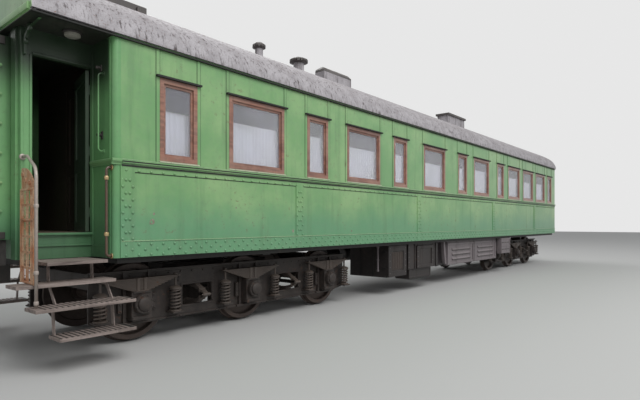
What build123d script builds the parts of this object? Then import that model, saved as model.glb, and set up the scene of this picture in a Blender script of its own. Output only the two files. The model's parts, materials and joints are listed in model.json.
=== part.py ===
"""Six-axle passenger coach: a riveted steel body with one recessed entrance vestibule,
an arched roof, gangways, and two six-wheel bogies.

The frame: X runs along the coach with the entrance vestibule at -X, Y runs across it with
the left side at -Y, and Z points up from the bottom of the wheel flanges. Sizes are in mm.
"""

import os
from math import asin, cos, degrees, radians, sin

from build123d import *

os.makedirs("parts", exist_ok=True)

# Body
HALF_LENGTH = 10100.0
HALF_WIDTH = 1550.0
WALL = 90.0
SIDE_BOTTOM = 1211.0
WALL_TOP = 3903.0
CORNER_RADIUS = 60.0
FAR_CORNER_RADIUS = 60.0
FLOOR_TOP = 1518.0
FLOOR_THICK = 100.0
DOOR_HEAD = 3574.0

# Entrance vestibule at the near end, with its side doors set back under the roof
VESTIBULE_LENGTH = 910.0
VESTIBULE_HALF_WIDTH = 1000.0
VESTIBULE_WALL = 60.0
PILLAR = 122.0
END_WALL_SETBACK = 90.0
END_WALL = 50.0
END_POST = 30.0
END_POST_INNER = 800.0
PARTITION = 50.0
PARTITION_SETBACK = 150.0

# Doors
LEAF = 40.0
LEAF_GAP = 7.0
END_DOOR_WIDTH = 700.0
INNER_DOOR_WIDTH = 650.0
SIDE_DOOR_OPEN = 103.0

# Windows: the middle of each, measured from the vestibule corner, and the kind
WINDOW_BOTTOM = 2438.0
WINDOW_TOP = 3508.0
NARROW = 580.0
WIDE = 1160.0
WINDOWS = (  # middle, width
    (901.0, NARROW),
    (2330.0, WIDE),
    (3770.0, NARROW),
    (5220.0, WIDE),
    (6634.0, NARROW),
    (8294.0, WIDE),
    (9950.0, NARROW),
    (11302.0, WIDE),
    (12870.0, NARROW),
    (14154.0, WIDE),
    (15673.0, WIDE),
    (17175.0, WIDE),
    (18430.0, NARROW),
)
FRAME_BAR = 62.0
FRAME_PROUD = 10.0
FRAME_DEEP = 70.0
SASH_BAR = 34.0
SASH_SETBACK = 24.0
GLASS = 8.0

# Mouldings on the sides
WAIST_BOTTOM = 2338.0
WAIST_HEIGHT = 72.0
WAIST_PROUD = 34.0
HOOD_OVERLAP = 35.0
HOOD_PROUD = 48.0
HOOD_HEIGHT = 26.0

# Roof and ceiling
ROOF_TOP = 4740.0
ROOF_THICK = 60.0
EAVE_Y = HALF_WIDTH + 40.0
EAVE_Z = 3928.0
EAVE_SLOPE = 80.0
SHOULDER_RADIUS = 600.0
CEILING = 25.0
VENT_Y = -320.0
ROUND_VENTS = (  # x, neck radius, cap radius
    (-5690.0, 75.0, 125.0),
    (-4570.0, 110.0, 190.0),
)
VENT_RISE = 310.0  # above the roof top
DOME = (-3400.0, 980.0, 260.0)  # x, length, width
FLAT_HOUSING = (2700.0, 1200.0, 360.0)  # x, length, width

# Underframe
SILL_BOTTOM = 1138.0
SILL_Y = 1380.0
SILL_WIDTH = 80.0
CENTRE_SILL_Y = 250.0
BEAM = 70.0
HEADSTOCK = 160.0
JACK_PAD = 160.0
JACK_PAD_Y = 1350.0
JACK_PAD_DROP = 20.0
BEARERS = (-3700.0, -2520.0, -1250.0, -350.0, 950.0, 1850.0, 3700.0)

# Gangways and couplers
GANGWAY_HALF_WIDTH = 750.0
GANGWAY_REACH = 450.0
GANGWAY_PLATE = 25.0
GANGWAY_BOTTOM = 1440.0
GANGWAY_TOP = 3800.0
COUPLER_HEIGHT = 1010.0
COUPLER_BASE = HALF_LENGTH - 250.0

# Bogies
PIVOT_X = 6560.0
AXLE_SPACING = 2010.0
TREAD_RADIUS = 525.0
FLANGE = 28.0
AXLE_Z = TREAD_RADIUS + FLANGE
WHEEL_INNER = 720.0
FLANGE_WIDTH = 32.0
WHEEL_OUTER = 850.0
AXLE_RADIUS = 82.0
JOURNAL_RADIUS = 65.0
JOURNAL_END = 1120.0
RUNNING_FIT = 0.05
PLATE_INNER = 925.0
PLATE = 28.0
PLATE_BOTTOM = 262.0
PLATE_TOP = 980.0
BOGIE_HALF = 2660.0
BOX_WIDTH = 300.0
BOX_BOTTOM = 325.0
BOX_TOP = 720.0
BOX_OUTER = 1175.0
HORN = 40.0
LEAF_TOP = 895.0
LEAF_HALF = 620.0
LEAF_SHORT = 150.0
LEAVES = 7
COIL_OFFSET = 550.0
COIL_RADIUS = 82.0
COIL_WIRE = 15.0
COIL_BOTTOM = 385.0
COIL_TOP = 700.0
SPRING_Y = 1065.0
WINDOW_HALF = 262.0
ELLIPTIC_TOP = 750.0
ELLIPTIC_BOTTOM = 390.0
SEAT_GAP = 0.3
BEARING_Z = 1000.0
BEARING_RADIUS = 190.0
CENTRE_BEAM_TOP = 980.0
TRANSOM_OFFSET = 300.0
TRANSOM = 28.0
TRANSOM_TOP = 890.0

NEAR_X = -HALF_LENGTH
CORNER_X = NEAR_X + VESTIBULE_LENGTH
END_WALL_X = NEAR_X + END_WALL_SETBACK
SEAM_X = CORNER_X + WALL
PARTITION_X = SEAM_X + PARTITION_SETBACK
SIDE_DOOR_WIDTH = VESTIBULE_LENGTH - END_WALL_SETBACK - PILLAR
SIDE_DOOR_MIDDLE = CORNER_X - SIDE_DOOR_WIDTH / 2
INNER_HALF_WIDTH = HALF_WIDTH - WALL
VESTIBULE_INNER = VESTIBULE_HALF_WIDTH - VESTIBULE_WALL
UNDER_CEILING = WALL_TOP - CEILING
PLATE_OUTER = PLATE_INNER + PLATE
SIDES = (-1, 1)
AXLES = (-AXLE_SPACING, 0.0, AXLE_SPACING)


def block(x, y, z, mode=Mode.ADD):
    """Add a square-edged bar or plate between two values on each axis."""
    middle = ((x[0] + x[1]) / 2, (y[0] + y[1]) / 2, (z[0] + z[1]) / 2)
    with Locations(middle):
        Box(x[1] - x[0], abs(y[1] - y[0]), z[1] - z[0], mode=mode)


def save(part, name):
    """Label a finished piece and write it."""
    part.label = name
    export_step(part, f"parts/{name}.step")


def mirrored(part):
    """The same piece on the other side of the coach."""
    with BuildPart() as other:
        mirror(part, about=Plane.XZ)
    return other.part


# Side walls: one plate each, from the seam behind the corner post to the far end
def side_wall():
    """The left side wall with its windows cut."""
    with BuildPart() as wall:
        with BuildSketch(Plane.XY.offset(SIDE_BOTTOM)):
            with BuildLine():
                Polyline(
                    (SEAM_X, -HALF_WIDTH),
                    (SEAM_X, -INNER_HALF_WIDTH),
                    (HALF_LENGTH, -INNER_HALF_WIDTH),
                    (HALF_LENGTH, -HALF_WIDTH + FAR_CORNER_RADIUS),
                )
                RadiusArc(
                    (HALF_LENGTH, -HALF_WIDTH + FAR_CORNER_RADIUS),
                    (HALF_LENGTH - FAR_CORNER_RADIUS, -HALF_WIDTH),
                    FAR_CORNER_RADIUS,
                )
                Line((HALF_LENGTH - FAR_CORNER_RADIUS, -HALF_WIDTH), (SEAM_X, -HALF_WIDTH))
            make_face()
        extrude(amount=WALL_TOP - SIDE_BOTTOM)
        with BuildSketch(Plane.XZ.offset(HALF_WIDTH)):
            for middle, width in WINDOWS:
                with Locations((CORNER_X + middle, (WINDOW_BOTTOM + WINDOW_TOP) / 2)):
                    Rectangle(width, WINDOW_TOP - WINDOW_BOTTOM)
        extrude(amount=-WALL, mode=Mode.SUBTRACT)
    return wall.part


side_wall_left = side_wall()
save(side_wall_left, "side_wall_left")
save(mirrored(side_wall_left), "side_wall_right")


# Window frames: a wooden frame with a stepped sash inside it, and the glass
def window_ring(width, height):
    """One frame with its sash, centred on the origin of the wall plane."""
    with BuildPart() as ring:
        with BuildSketch(Plane.XZ.offset(FRAME_PROUD)):
            Rectangle(width, height)
            Rectangle(width - 2 * FRAME_BAR, height - 2 * FRAME_BAR, mode=Mode.SUBTRACT)
        extrude(amount=-FRAME_DEEP)
        with BuildSketch(Plane.XZ.offset(FRAME_PROUD - SASH_SETBACK)):
            Rectangle(width - 2 * FRAME_BAR, height - 2 * FRAME_BAR)
            Rectangle(
                width - 2 * FRAME_BAR - 2 * SASH_BAR,
                height - 2 * FRAME_BAR - 2 * SASH_BAR,
                mode=Mode.SUBTRACT,
            )
        extrude(amount=-(FRAME_DEEP - SASH_SETBACK))
    return ring.part


def window_pane(width, height):
    """The glass inside one sash."""
    with BuildPart() as pane:
        with BuildSketch(Plane.XZ.offset(FRAME_PROUD - FRAME_DEEP / 2)):
            Rectangle(
                width - 2 * FRAME_BAR - 2 * SASH_BAR,
                height - 2 * FRAME_BAR - 2 * SASH_BAR,
            )
        extrude(amount=-GLASS)
    return pane.part


def at_windows(maker):
    """One solid from the maker at each window of both sides."""
    height = WINDOW_TOP - WINDOW_BOTTOM
    left = []
    for middle, width in WINDOWS:
        place = Location((CORNER_X + middle, -HALF_WIDTH, WINDOW_BOTTOM + height / 2))
        left.append(maker(width, height).moved(place))
    right = [mirrored(piece) for piece in left]
    return Compound(children=left + right)


save(at_windows(window_ring), "window_frames")
save(at_windows(window_pane), "window_glass")


# Side mouldings: the waist rail, and a small rain hood over each window
WAIST_SECTION = (  # outwards from the wall, and down from the top
    (0, -WAIST_HEIGHT),
    (0, 0),
    (WAIST_PROUD - 12, 0),
    (WAIST_PROUD, -8),
    (WAIST_PROUD, -30),
    (12, -WAIST_HEIGHT + 14),
    (12, -WAIST_HEIGHT),
)


def waist_rails():
    """The rail along the left side, and its return across the front of the corner."""
    top = WAIST_BOTTOM + WAIST_HEIGHT
    with BuildPart() as rail:
        far_end = (HALF_LENGTH - FAR_CORNER_RADIUS, -HALF_WIDTH, top)
        with BuildSketch(Plane(origin=far_end, x_dir=(0, -1, 0), z_dir=(-1, 0, 0))):
            with BuildLine():
                Polyline(*WAIST_SECTION, close=True)
            make_face()
        extrude(amount=far_end[0] - CORNER_X + WAIST_PROUD)
    with BuildPart() as turned:
        corner = (CORNER_X, -HALF_WIDTH + SEAT_GAP, top)
        with BuildSketch(Plane(origin=corner, x_dir=(-1, 0, 0), z_dir=(0, 1, 0))):
            with BuildLine():
                Polyline(*WAIST_SECTION, close=True)
            make_face()
        extrude(amount=HALF_WIDTH - SEAT_GAP - VESTIBULE_HALF_WIDTH)
    return [rail.part, turned.part]


def hood(width):
    """The rain strip over one window, sloping down outwards."""
    with BuildPart() as strip:
        with BuildSketch(Plane.YZ.offset(-width / 2 - HOOD_OVERLAP)):
            with BuildLine():
                Polyline(
                    (0, 0),
                    (0, HOOD_HEIGHT),
                    (-HOOD_PROUD, 6),
                    (-HOOD_PROUD, 0),
                    (0, 0),
                )
            make_face()
        extrude(amount=width + 2 * HOOD_OVERLAP)
    return strip.part


left_mouldings = waist_rails()
for window_middle, window_width in WINDOWS:
    hood_place = Location((CORNER_X + window_middle, -HALF_WIDTH, WINDOW_TOP + 12))
    left_mouldings.append(hood(window_width).moved(hood_place))
right_mouldings = [mirrored(piece) for piece in left_mouldings]
save(Compound(children=left_mouldings + right_mouldings), "side_mouldings")


# Vestibule side walls with the side doorways, set back under the roof, and the corner posts
def vestibule_wall():
    """The left wall: front pillar, header, apron and the corner post out to the side."""
    with BuildPart() as wall:
        with BuildSketch(Plane.XZ.offset(VESTIBULE_HALF_WIDTH)):
            with BuildLine():
                Polyline(
                    (END_WALL_X, SIDE_BOTTOM),
                    (SEAM_X, SIDE_BOTTOM),
                    (SEAM_X, UNDER_CEILING),
                    (END_WALL_X, UNDER_CEILING),
                    close=True,
                )
            make_face()
            with Locations((SIDE_DOOR_MIDDLE, (FLOOR_TOP + DOOR_HEAD) / 2)):
                Rectangle(SIDE_DOOR_WIDTH, DOOR_HEAD - FLOOR_TOP, mode=Mode.SUBTRACT)
        extrude(amount=-VESTIBULE_WALL)
        with BuildSketch(Plane.XY.offset(SIDE_BOTTOM)):
            with BuildLine():
                Polyline(
                    (CORNER_X, -HALF_WIDTH + CORNER_RADIUS),
                    (CORNER_X, -VESTIBULE_HALF_WIDTH),
                    (SEAM_X, -VESTIBULE_HALF_WIDTH),
                    (SEAM_X, -HALF_WIDTH),
                    (CORNER_X + CORNER_RADIUS, -HALF_WIDTH),
                )
                RadiusArc(
                    (CORNER_X + CORNER_RADIUS, -HALF_WIDTH),
                    (CORNER_X, -HALF_WIDTH + CORNER_RADIUS),
                    CORNER_RADIUS,
                )
            make_face()
        extrude(amount=WALL_TOP - SIDE_BOTTOM)
    return wall.part


vestibule_wall_left = vestibule_wall()
save(vestibule_wall_left, "vestibule_wall_left")
save(mirrored(vestibule_wall_left), "vestibule_wall_right")


# End walls and the vestibule partition, each with its doorway
def cross_wall(x, thick, half_width, door_width, bottom, top, post=0.0):
    """A wall across the coach from x to x + thick, with posts that stand out at -X."""
    with BuildPart() as wall:
        with BuildSketch(Plane.YZ.offset(x)):
            with Locations((0, (bottom + top) / 2)):
                Rectangle(2 * half_width, top - bottom)
            with Locations((0, (FLOOR_TOP + DOOR_HEAD) / 2)):
                Rectangle(door_width, DOOR_HEAD - FLOOR_TOP, mode=Mode.SUBTRACT)
        extrude(amount=thick)
        if post:
            for side in SIDES:
                post_y = sorted((side * END_POST_INNER, side * half_width))
                block((x - post, x), post_y, (bottom, top))
    return wall.part


save(
    cross_wall(
        END_WALL_X, END_WALL, VESTIBULE_INNER, END_DOOR_WIDTH, SIDE_BOTTOM, UNDER_CEILING, END_POST
    ),
    "end_wall_near",
)
save(
    cross_wall(HALF_LENGTH - WALL, WALL, INNER_HALF_WIDTH, END_DOOR_WIDTH, SIDE_BOTTOM, WALL_TOP),
    "end_wall_far",
)
save(
    cross_wall(PARTITION_X, PARTITION, INNER_HALF_WIDTH, INNER_DOOR_WIDTH, FLOOR_TOP, UNDER_CEILING),
    "partition",
)

# Floor: full width in the saloon, narrower in the vestibule
with BuildPart() as floor:
    with BuildSketch(Plane.XY.offset(FLOOR_TOP - FLOOR_THICK)):
        with BuildLine():
            Polyline(
                (END_WALL_X + END_WALL, -VESTIBULE_INNER),
                (SEAM_X, -VESTIBULE_INNER),
                (SEAM_X, -INNER_HALF_WIDTH),
                (HALF_LENGTH - WALL, -INNER_HALF_WIDTH),
                (HALF_LENGTH - WALL, INNER_HALF_WIDTH),
                (SEAM_X, INNER_HALF_WIDTH),
                (SEAM_X, VESTIBULE_INNER),
                (END_WALL_X + END_WALL, VESTIBULE_INNER),
                close=True,
            )
        make_face()
    extrude(amount=FLOOR_THICK)
save(floor.part, "floor")

# Ceiling: a flat panel between the walls, which becomes the soffit over the entrance
with BuildPart() as ceiling:
    with BuildSketch(Plane.XY.offset(UNDER_CEILING)):
        with BuildLine():
            Polyline(
                (NEAR_X + ROOF_THICK, -HALF_WIDTH),
                (CORNER_X, -HALF_WIDTH),
                (CORNER_X, -VESTIBULE_HALF_WIDTH),
                (SEAM_X, -VESTIBULE_HALF_WIDTH),
                (SEAM_X, -INNER_HALF_WIDTH),
                (HALF_LENGTH - WALL, -INNER_HALF_WIDTH),
                (HALF_LENGTH - WALL, INNER_HALF_WIDTH),
                (SEAM_X, INNER_HALF_WIDTH),
                (SEAM_X, VESTIBULE_HALF_WIDTH),
                (CORNER_X, VESTIBULE_HALF_WIDTH),
                (CORNER_X, HALF_WIDTH),
                (NEAR_X + ROOF_THICK, HALF_WIDTH),
                close=True,
            )
        make_face()
    extrude(amount=CEILING)
save(ceiling.part, "ceiling")


# Roof: a crown arc between two shoulder arcs, with the gutter along each eave
def roof_arcs(inset):
    """Points of the arched section, drawn in by the inset: eave, shoulder, joint, top."""
    centre_y = EAVE_Y - SHOULDER_RADIUS * sin(radians(EAVE_SLOPE))
    centre_z = EAVE_Z - SHOULDER_RADIUS * cos(radians(EAVE_SLOPE))
    drop = centre_z - ROOF_TOP
    crown = (SHOULDER_RADIUS**2 - centre_y**2 - drop**2) / (2 * (drop + SHOULDER_RADIUS))
    joint_angle = degrees(asin(centre_y / (crown - SHOULDER_RADIUS)))
    shoulder = SHOULDER_RADIUS - inset
    points = []
    for angle in (EAVE_SLOPE, (EAVE_SLOPE + joint_angle) / 2, joint_angle):
        points.append(
            (centre_y + shoulder * sin(radians(angle)), centre_z + shoulder * cos(radians(angle)))
        )
    return points + [(0.0, ROOF_TOP - inset)]


def roof_outline(inset, base):
    """Draw the arched line from one eave to the other, down to the base at both ends."""
    eave, middle, joint, top = roof_arcs(inset)
    Line((-eave[0], base), (-eave[0], eave[1]))
    ThreePointArc((-eave[0], eave[1]), (-middle[0], middle[1]), (-joint[0], joint[1]))
    ThreePointArc((-joint[0], joint[1]), top, joint)
    ThreePointArc(joint, middle, eave)
    Line(eave, (eave[0], base))
    return eave[0]


with BuildPart() as roof:
    with BuildSketch(Plane.YZ.offset(-HALF_LENGTH)):
        with BuildLine():
            outer_y = roof_outline(0, WALL_TOP)
            Line((outer_y, WALL_TOP), (-outer_y, WALL_TOP))
        make_face()
        with BuildLine():
            inner_y = roof_outline(ROOF_THICK, WALL_TOP)
            Line((inner_y, WALL_TOP), (-inner_y, WALL_TOP))
        make_face(mode=Mode.SUBTRACT)
    extrude(amount=2 * HALF_LENGTH)
    for end in (-HALF_LENGTH, HALF_LENGTH - ROOF_THICK):
        with BuildSketch(Plane.YZ.offset(end)):
            with BuildLine():
                end_y = roof_outline(ROOF_THICK / 2, WALL_TOP)
                Line((end_y, WALL_TOP), (-end_y, WALL_TOP))
            make_face()
        extrude(amount=ROOF_THICK)
    # Header strip across the near end, under the arch
    block((NEAR_X, NEAR_X + ROOF_THICK), (-HALF_WIDTH, HALF_WIDTH), (UNDER_CEILING, WALL_TOP))
save(roof.part, "roof")


with BuildPart() as arch:
    with BuildSketch(Plane.YZ.offset(-HALF_LENGTH)):
        with BuildLine():
            arch_y = roof_outline(0, WALL_TOP)
            Line((arch_y, WALL_TOP), (-arch_y, WALL_TOP))
        make_face()
    extrude(amount=2 * HALF_LENGTH)


# Roof ventilators: a neck and a flat cap each, one long dome and one flat housing
def on_roof(part):
    """The piece with whatever lies under the roof's outer face taken away."""
    with BuildPart() as seated:
        add(part)
        add(arch.part, mode=Mode.SUBTRACT)
    return seated.part


def round_vent(x, neck, cap):
    """One round ventilator standing on the arched roof."""
    top = ROOF_TOP + VENT_RISE
    with BuildPart() as vent:
        with BuildSketch(Plane.XZ.offset(-VENT_Y)):
            with BuildLine():
                Polyline(
                    (x, ROOF_TOP - 2 * ROOF_THICK),
                    (x + neck, ROOF_TOP - 2 * ROOF_THICK),
                    (x + neck, top - 110),
                    (x + cap, top - 90),
                    (x + cap, top - 40),
                    (x + neck, top),
                    (x, top),
                    (x, ROOF_TOP - 2 * ROOF_THICK),
                )
            make_face()
        revolve(axis=Axis((x, VENT_Y, 0), (0, 0, 1)))
    return on_roof(vent.part)


vents = [round_vent(*row) for row in ROUND_VENTS]
dome_x, dome_length, dome_width = DOME
with BuildPart() as dome:
    with Locations((dome_x, VENT_Y, ROOF_TOP + VENT_RISE / 2 - ROOF_THICK)):
        Box(dome_length, dome_width, VENT_RISE + 2 * ROOF_THICK)
    fillet(dome.edges().filter_by(Axis.X).group_by(Axis.Z)[-1], dome_width * 0.45)
    for end in (dome_x - dome_length / 2, dome_x + dome_length / 2):
        with Locations((end, VENT_Y, ROOF_TOP + VENT_RISE)):
            Box(90, dome_width, 140, rotation=(0, 45, 0), mode=Mode.SUBTRACT)
vents.append(on_roof(dome.part))
flat_x, flat_length, flat_width = FLAT_HOUSING
with BuildPart() as housing:
    body_top = ROOF_TOP + VENT_RISE - 60
    block((flat_x - flat_length / 2, flat_x + flat_length / 2),
          (VENT_Y - flat_width / 2, VENT_Y + flat_width / 2), (ROOF_TOP - 2 * ROOF_THICK, body_top))
    block((flat_x - flat_length / 2 - 40, flat_x + flat_length / 2 + 40),
          (VENT_Y - flat_width / 2 - 40, VENT_Y + flat_width / 2 + 40), (body_top, body_top + 60))
vents.append(on_roof(housing.part))
save(Compound(children=vents), "roof_vents")

# Underframe: side sills, centre sills, headstocks, cross bearers and body bolsters
with BuildPart() as underframe:
    sill_top = FLOOR_TOP - FLOOR_THICK
    near_frame = END_WALL_X + END_WALL
    far_frame = HALF_LENGTH - WALL
    for side in SIDES:
        sill_y = sorted((side * SILL_Y, side * (SILL_Y + SILL_WIDTH)))
        block((SEAM_X, far_frame), sill_y, (SILL_BOTTOM, sill_top))
        short_y = sorted((side * (VESTIBULE_INNER - SILL_WIDTH), side * VESTIBULE_INNER))
        block((near_frame, SEAM_X), short_y, (SILL_BOTTOM, sill_top))
        centre_y = sorted((side * CENTRE_SILL_Y, side * (CENTRE_SILL_Y + BEAM)))
        block((near_frame, far_frame), centre_y, (SILL_BOTTOM, sill_top))
    block((near_frame, near_frame + HEADSTOCK), (-VESTIBULE_INNER, VESTIBULE_INNER), (SILL_BOTTOM, sill_top))
    block((far_frame - HEADSTOCK, far_frame), (-SILL_Y, SILL_Y), (SILL_BOTTOM, sill_top))
    block((SEAM_X, SEAM_X + BEAM), (-SILL_Y, SILL_Y), (SILL_BOTTOM, sill_top))
    for x in BEARERS:
        block((x - BEAM / 2, x + BEAM / 2), (-SILL_Y, SILL_Y), (SILL_BOTTOM, sill_top))
    for x in (-PIVOT_X, PIVOT_X):
        block((x - 300, x + 300), (-SILL_Y, SILL_Y), (SILL_BOTTOM, sill_top))
        with Locations((x, 0, (BEARING_Z + SILL_BOTTOM) / 2)):
            Cylinder(BEARING_RADIUS, SILL_BOTTOM - BEARING_Z)
        for side in SIDES:
            pad_y = sorted((side * (JACK_PAD_Y - JACK_PAD / 2), side * (JACK_PAD_Y + JACK_PAD / 2)))
            block((x - JACK_PAD / 2, x + JACK_PAD / 2), pad_y, (SILL_BOTTOM - JACK_PAD_DROP, SILL_BOTTOM))
save(underframe.part, "underframe")


# Gangways: side panels and a roof panel, with a flat face frame round the passage
def gangway(wall_x, out):
    """One gangway that stands out from the end wall in the direction out."""
    face_x = out * (HALF_LENGTH + GANGWAY_REACH)
    near_x = sorted((wall_x, face_x - out * 30))
    with BuildPart() as way:
        for side in SIDES:
            panel_y = sorted((side * GANGWAY_HALF_WIDTH, side * (GANGWAY_HALF_WIDTH - GANGWAY_PLATE)))
            block(near_x, panel_y, (GANGWAY_BOTTOM, GANGWAY_TOP))
            post_y = sorted((side * GANGWAY_HALF_WIDTH, side * (GANGWAY_HALF_WIDTH - 70)))
            block(sorted((wall_x, wall_x + out * 70)), post_y, (GANGWAY_BOTTOM, GANGWAY_TOP))
        top_y = (-GANGWAY_HALF_WIDTH, GANGWAY_HALF_WIDTH)
        block(near_x, top_y, (GANGWAY_TOP - GANGWAY_PLATE, GANGWAY_TOP))
        block(near_x, (-GANGWAY_HALF_WIDTH, GANGWAY_HALF_WIDTH), (GANGWAY_BOTTOM, GANGWAY_BOTTOM + 30))
        with BuildSketch(Plane.YZ.offset(face_x)):
            with Locations((0, (GANGWAY_BOTTOM + GANGWAY_TOP) / 2)):
                Rectangle(2 * GANGWAY_HALF_WIDTH + 60, GANGWAY_TOP - GANGWAY_BOTTOM + 60)
            with Locations((0, (FLOOR_TOP + DOOR_HEAD) / 2 + 30)):
                Rectangle(END_DOOR_WIDTH + 400, DOOR_HEAD - FLOOR_TOP + 60, mode=Mode.SUBTRACT)
        extrude(amount=-out * 30)
    return way.part


save(gangway(END_WALL_X, -1), "gangway_near")
save(gangway(HALF_LENGTH, 1), "gangway_far")


# Couplers: a shank from the headstock with a claw head
def coupler(out):
    """One automatic coupler, which looks outwards along X."""
    with BuildPart() as hook:
        with BuildSketch(Plane.YZ):
            with Locations((0, COUPLER_HEIGHT)):
                Rectangle(130, 160)
        extrude(amount=420)
        with BuildSketch(Plane.XY.offset(COUPLER_HEIGHT - 150)):
            with BuildLine():
                Polyline(
                    (380, -110),
                    (460, -200),
                    (640, -200),
                    (640, -60),
                    (560, -30),
                    (560, 60),
                    (640, 120),
                    (700, 190),
                    (560, 230),
                    (420, 160),
                    close=True,
                )
            make_face()
        extrude(amount=300)
        block((0, 160), (-200, 200), (COUPLER_HEIGHT - 120, SILL_BOTTOM))
    return hook.part


coupler_far = coupler(1)
coupler_near = coupler_far.rotate(Axis.Z, 180)
save(coupler_near.moved(Location((-COUPLER_BASE, 0, 0))), "coupler_near")
save(coupler_far.moved(Location((COUPLER_BASE, 0, 0))), "coupler_far")

# Steps at the vestibule: front and back edge, top, first and last x from the near end
TREADS = (
    (1545.0, VESTIBULE_HALF_WIDTH, 1205.0, 170.0, 840.0),
    (1565.0, 1265.0, 975.0, -140.0, 930.0),
    (1750.0, 1450.0, 735.0, -20.0, 1085.0),
    (1790.0, 1490.0, 410.0, 205.0, 1065.0),
)
TREAD_THICK = 36.0
STRAP = 12.0
STRAP_WIDTH = 60.0
STRAP_SETBACK = 270.0
STRAP_INSETS = (0.0, 0.0, 30.0)


def steps():
    """The four treads on one side with the bent straps that hang them."""
    with BuildPart() as flight:
        for front, back, top, first, last in TREADS:
            block((NEAR_X + first, NEAR_X + last), (-front, -back), (top - TREAD_THICK, top))
        for (front, _, top, _, _), (low_front, _, low_top, _, last), inset in zip(TREADS, TREADS[1:], STRAP_INSETS):
            high = top - TREAD_THICK / 2
            low = low_top - TREAD_THICK / 2
            for x in (NEAR_X + 260 - inset, NEAR_X + last - 180 + inset / 2):
                with BuildSketch(Plane.YZ.offset(x)):
                    with BuildLine():
                        Polyline(
                            (-front + STRAP_SETBACK, high),
                            (-low_front + STRAP_SETBACK, low),
                            (-low_front + STRAP_SETBACK - STRAP_WIDTH, low),
                            (-front + STRAP_SETBACK - STRAP_WIDTH, high),
                            close=True,
                        )
                    make_face()
                extrude(amount=STRAP)
        cleat_z = (TREADS[0][2] - STRAP_WIDTH, SIDE_BOTTOM)
        for x in (NEAR_X + 260, NEAR_X + 760):
            block((x, x + STRAP), (-VESTIBULE_HALF_WIDTH - STRAP_WIDTH, -VESTIBULE_INNER), cleat_z)
    return flight.part


steps_left = steps()
save(steps_left, "steps_left")
save(mirrored(steps_left), "steps_right")

# Handrails: the curved pole beside the steps and the two upright grab rails by the door
RAIL_RADIUS = 17.0
GRIP_REACH = 66.0
POLE_X = NEAR_X + 40
POLE_HEAD = 2386.0
POLE_Y = -1597.0


def handrails():
    """The rails of the left side."""
    foot = TREADS[2][2]
    head_x = END_WALL_X + 20
    with BuildPart() as pole:
        with BuildLine() as path:
            FilletPolyline(
                (POLE_X, POLE_Y, foot),
                (POLE_X, POLE_Y, POLE_HEAD - 180),
                (head_x, -VESTIBULE_HALF_WIDTH - 150, POLE_HEAD),
                (head_x, -VESTIBULE_HALF_WIDTH, POLE_HEAD),
                radius=(150, 60),
            )
        with BuildSketch(Plane(origin=(POLE_X, POLE_Y, foot), z_dir=(0, 0, 1))):
            Circle(RAIL_RADIUS)
        sweep(path=path.line)
    rails = [pole.part]
    for y, low, high, radius in ((-1300.0, 2510.0, 3460.0, 10.0), (-1500.0, 1240.0, 2300.0, 16.0)):
        with BuildPart() as rail:
            with BuildLine() as path:
                FilletPolyline(
                    (CORNER_X, y, low),
                    (CORNER_X - GRIP_REACH, y, low),
                    (CORNER_X - GRIP_REACH, y, high),
                    (CORNER_X, y, high),
                    radius=40,
                )
            with BuildSketch(Plane(origin=(CORNER_X, y, low), z_dir=(-1, 0, 0))):
                Circle(radius)
            sweep(path=path.line)
        rails.append(rail.part)
    return rails


left_rails = handrails()
save(Compound(children=left_rails + [mirrored(rail) for rail in left_rails]), "handrails")


# Pierced grilles between the pillar and the pole
GRILLE = 12.0
GRILLE_GAP = 130.0
GRILLE_SHOULDER = 2000.0
GRILLE_TOP = 2240.0
GRILLE_ROWS = 6
GRILLE_COLUMNS = 3
GRILLE_BAR = 26.0


def step_grille():
    """The cast side guard of the left steps, with its curved top."""
    low = TREADS[1][2]
    pole_side = (POLE_X - GRILLE / 2, POLE_Y + RAIL_RADIUS + 2)
    along = (END_WALL_X - END_POST - pole_side[0], -VESTIBULE_HALF_WIDTH - GRILLE_GAP - pole_side[1])
    width = (along[0] ** 2 + along[1] ** 2) ** 0.5
    face = Plane(
        origin=(pole_side[0], pole_side[1], 0),
        x_dir=(along[0], along[1], 0),
        z_dir=(along[1], -along[0], 0),
    )
    rise = (GRILLE_SHOULDER - low) / GRILLE_ROWS
    with BuildPart() as guard:
        with BuildSketch(face):
            with BuildLine():
                Polyline((width, low), (0, low), (0, GRILLE_SHOULDER))
                ThreePointArc((0, GRILLE_SHOULDER), (width * 0.35, GRILLE_TOP - 70), (width, GRILLE_TOP))
                Line((width, GRILLE_TOP), (width, low))
            make_face()
            for row in range(GRILLE_ROWS):
                for column in range(GRILLE_COLUMNS):
                    centre = (width * (column + 0.5) / GRILLE_COLUMNS, low + rise * (row + 0.5))
                    with Locations(centre):
                        Rectangle(width / GRILLE_COLUMNS - GRILLE_BAR, rise - GRILLE_BAR, mode=Mode.SUBTRACT)
        extrude(amount=GRILLE)
    return guard.part


left_grille = step_grille()
save(Compound(children=[left_grille, mirrored(left_grille)]), "step_grilles")

# Equipment boxes under the floor
EQUIPMENT = {  # name: first x, last x, half width, bottom, top
    "equipment_box": (-2740.0, -1940.0, 1330.0, 408.0, SILL_BOTTOM),
    "apparatus_box": (-1840.0, -320.0, 1330.0, 518.0, SILL_BOTTOM),
}
BATTERY_X = (220.0, 3800.0)
BATTERY_Z = (490.0, SILL_BOTTOM)
BATTERY_HALF = 1330.0
BATTERY_SKIN = 30.0
BATTERY_DOOR = 25.0
BARREL = 9.0
for box_name, (first, last, half, low, high) in EQUIPMENT.items():
    with BuildPart() as box:
        block((first, last), (-half, -300), (low, high))
        fillet(box.edges().filter_by(Axis.X).group_by(Axis.Z)[0], 20)
    save(box.part, box_name)

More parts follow.
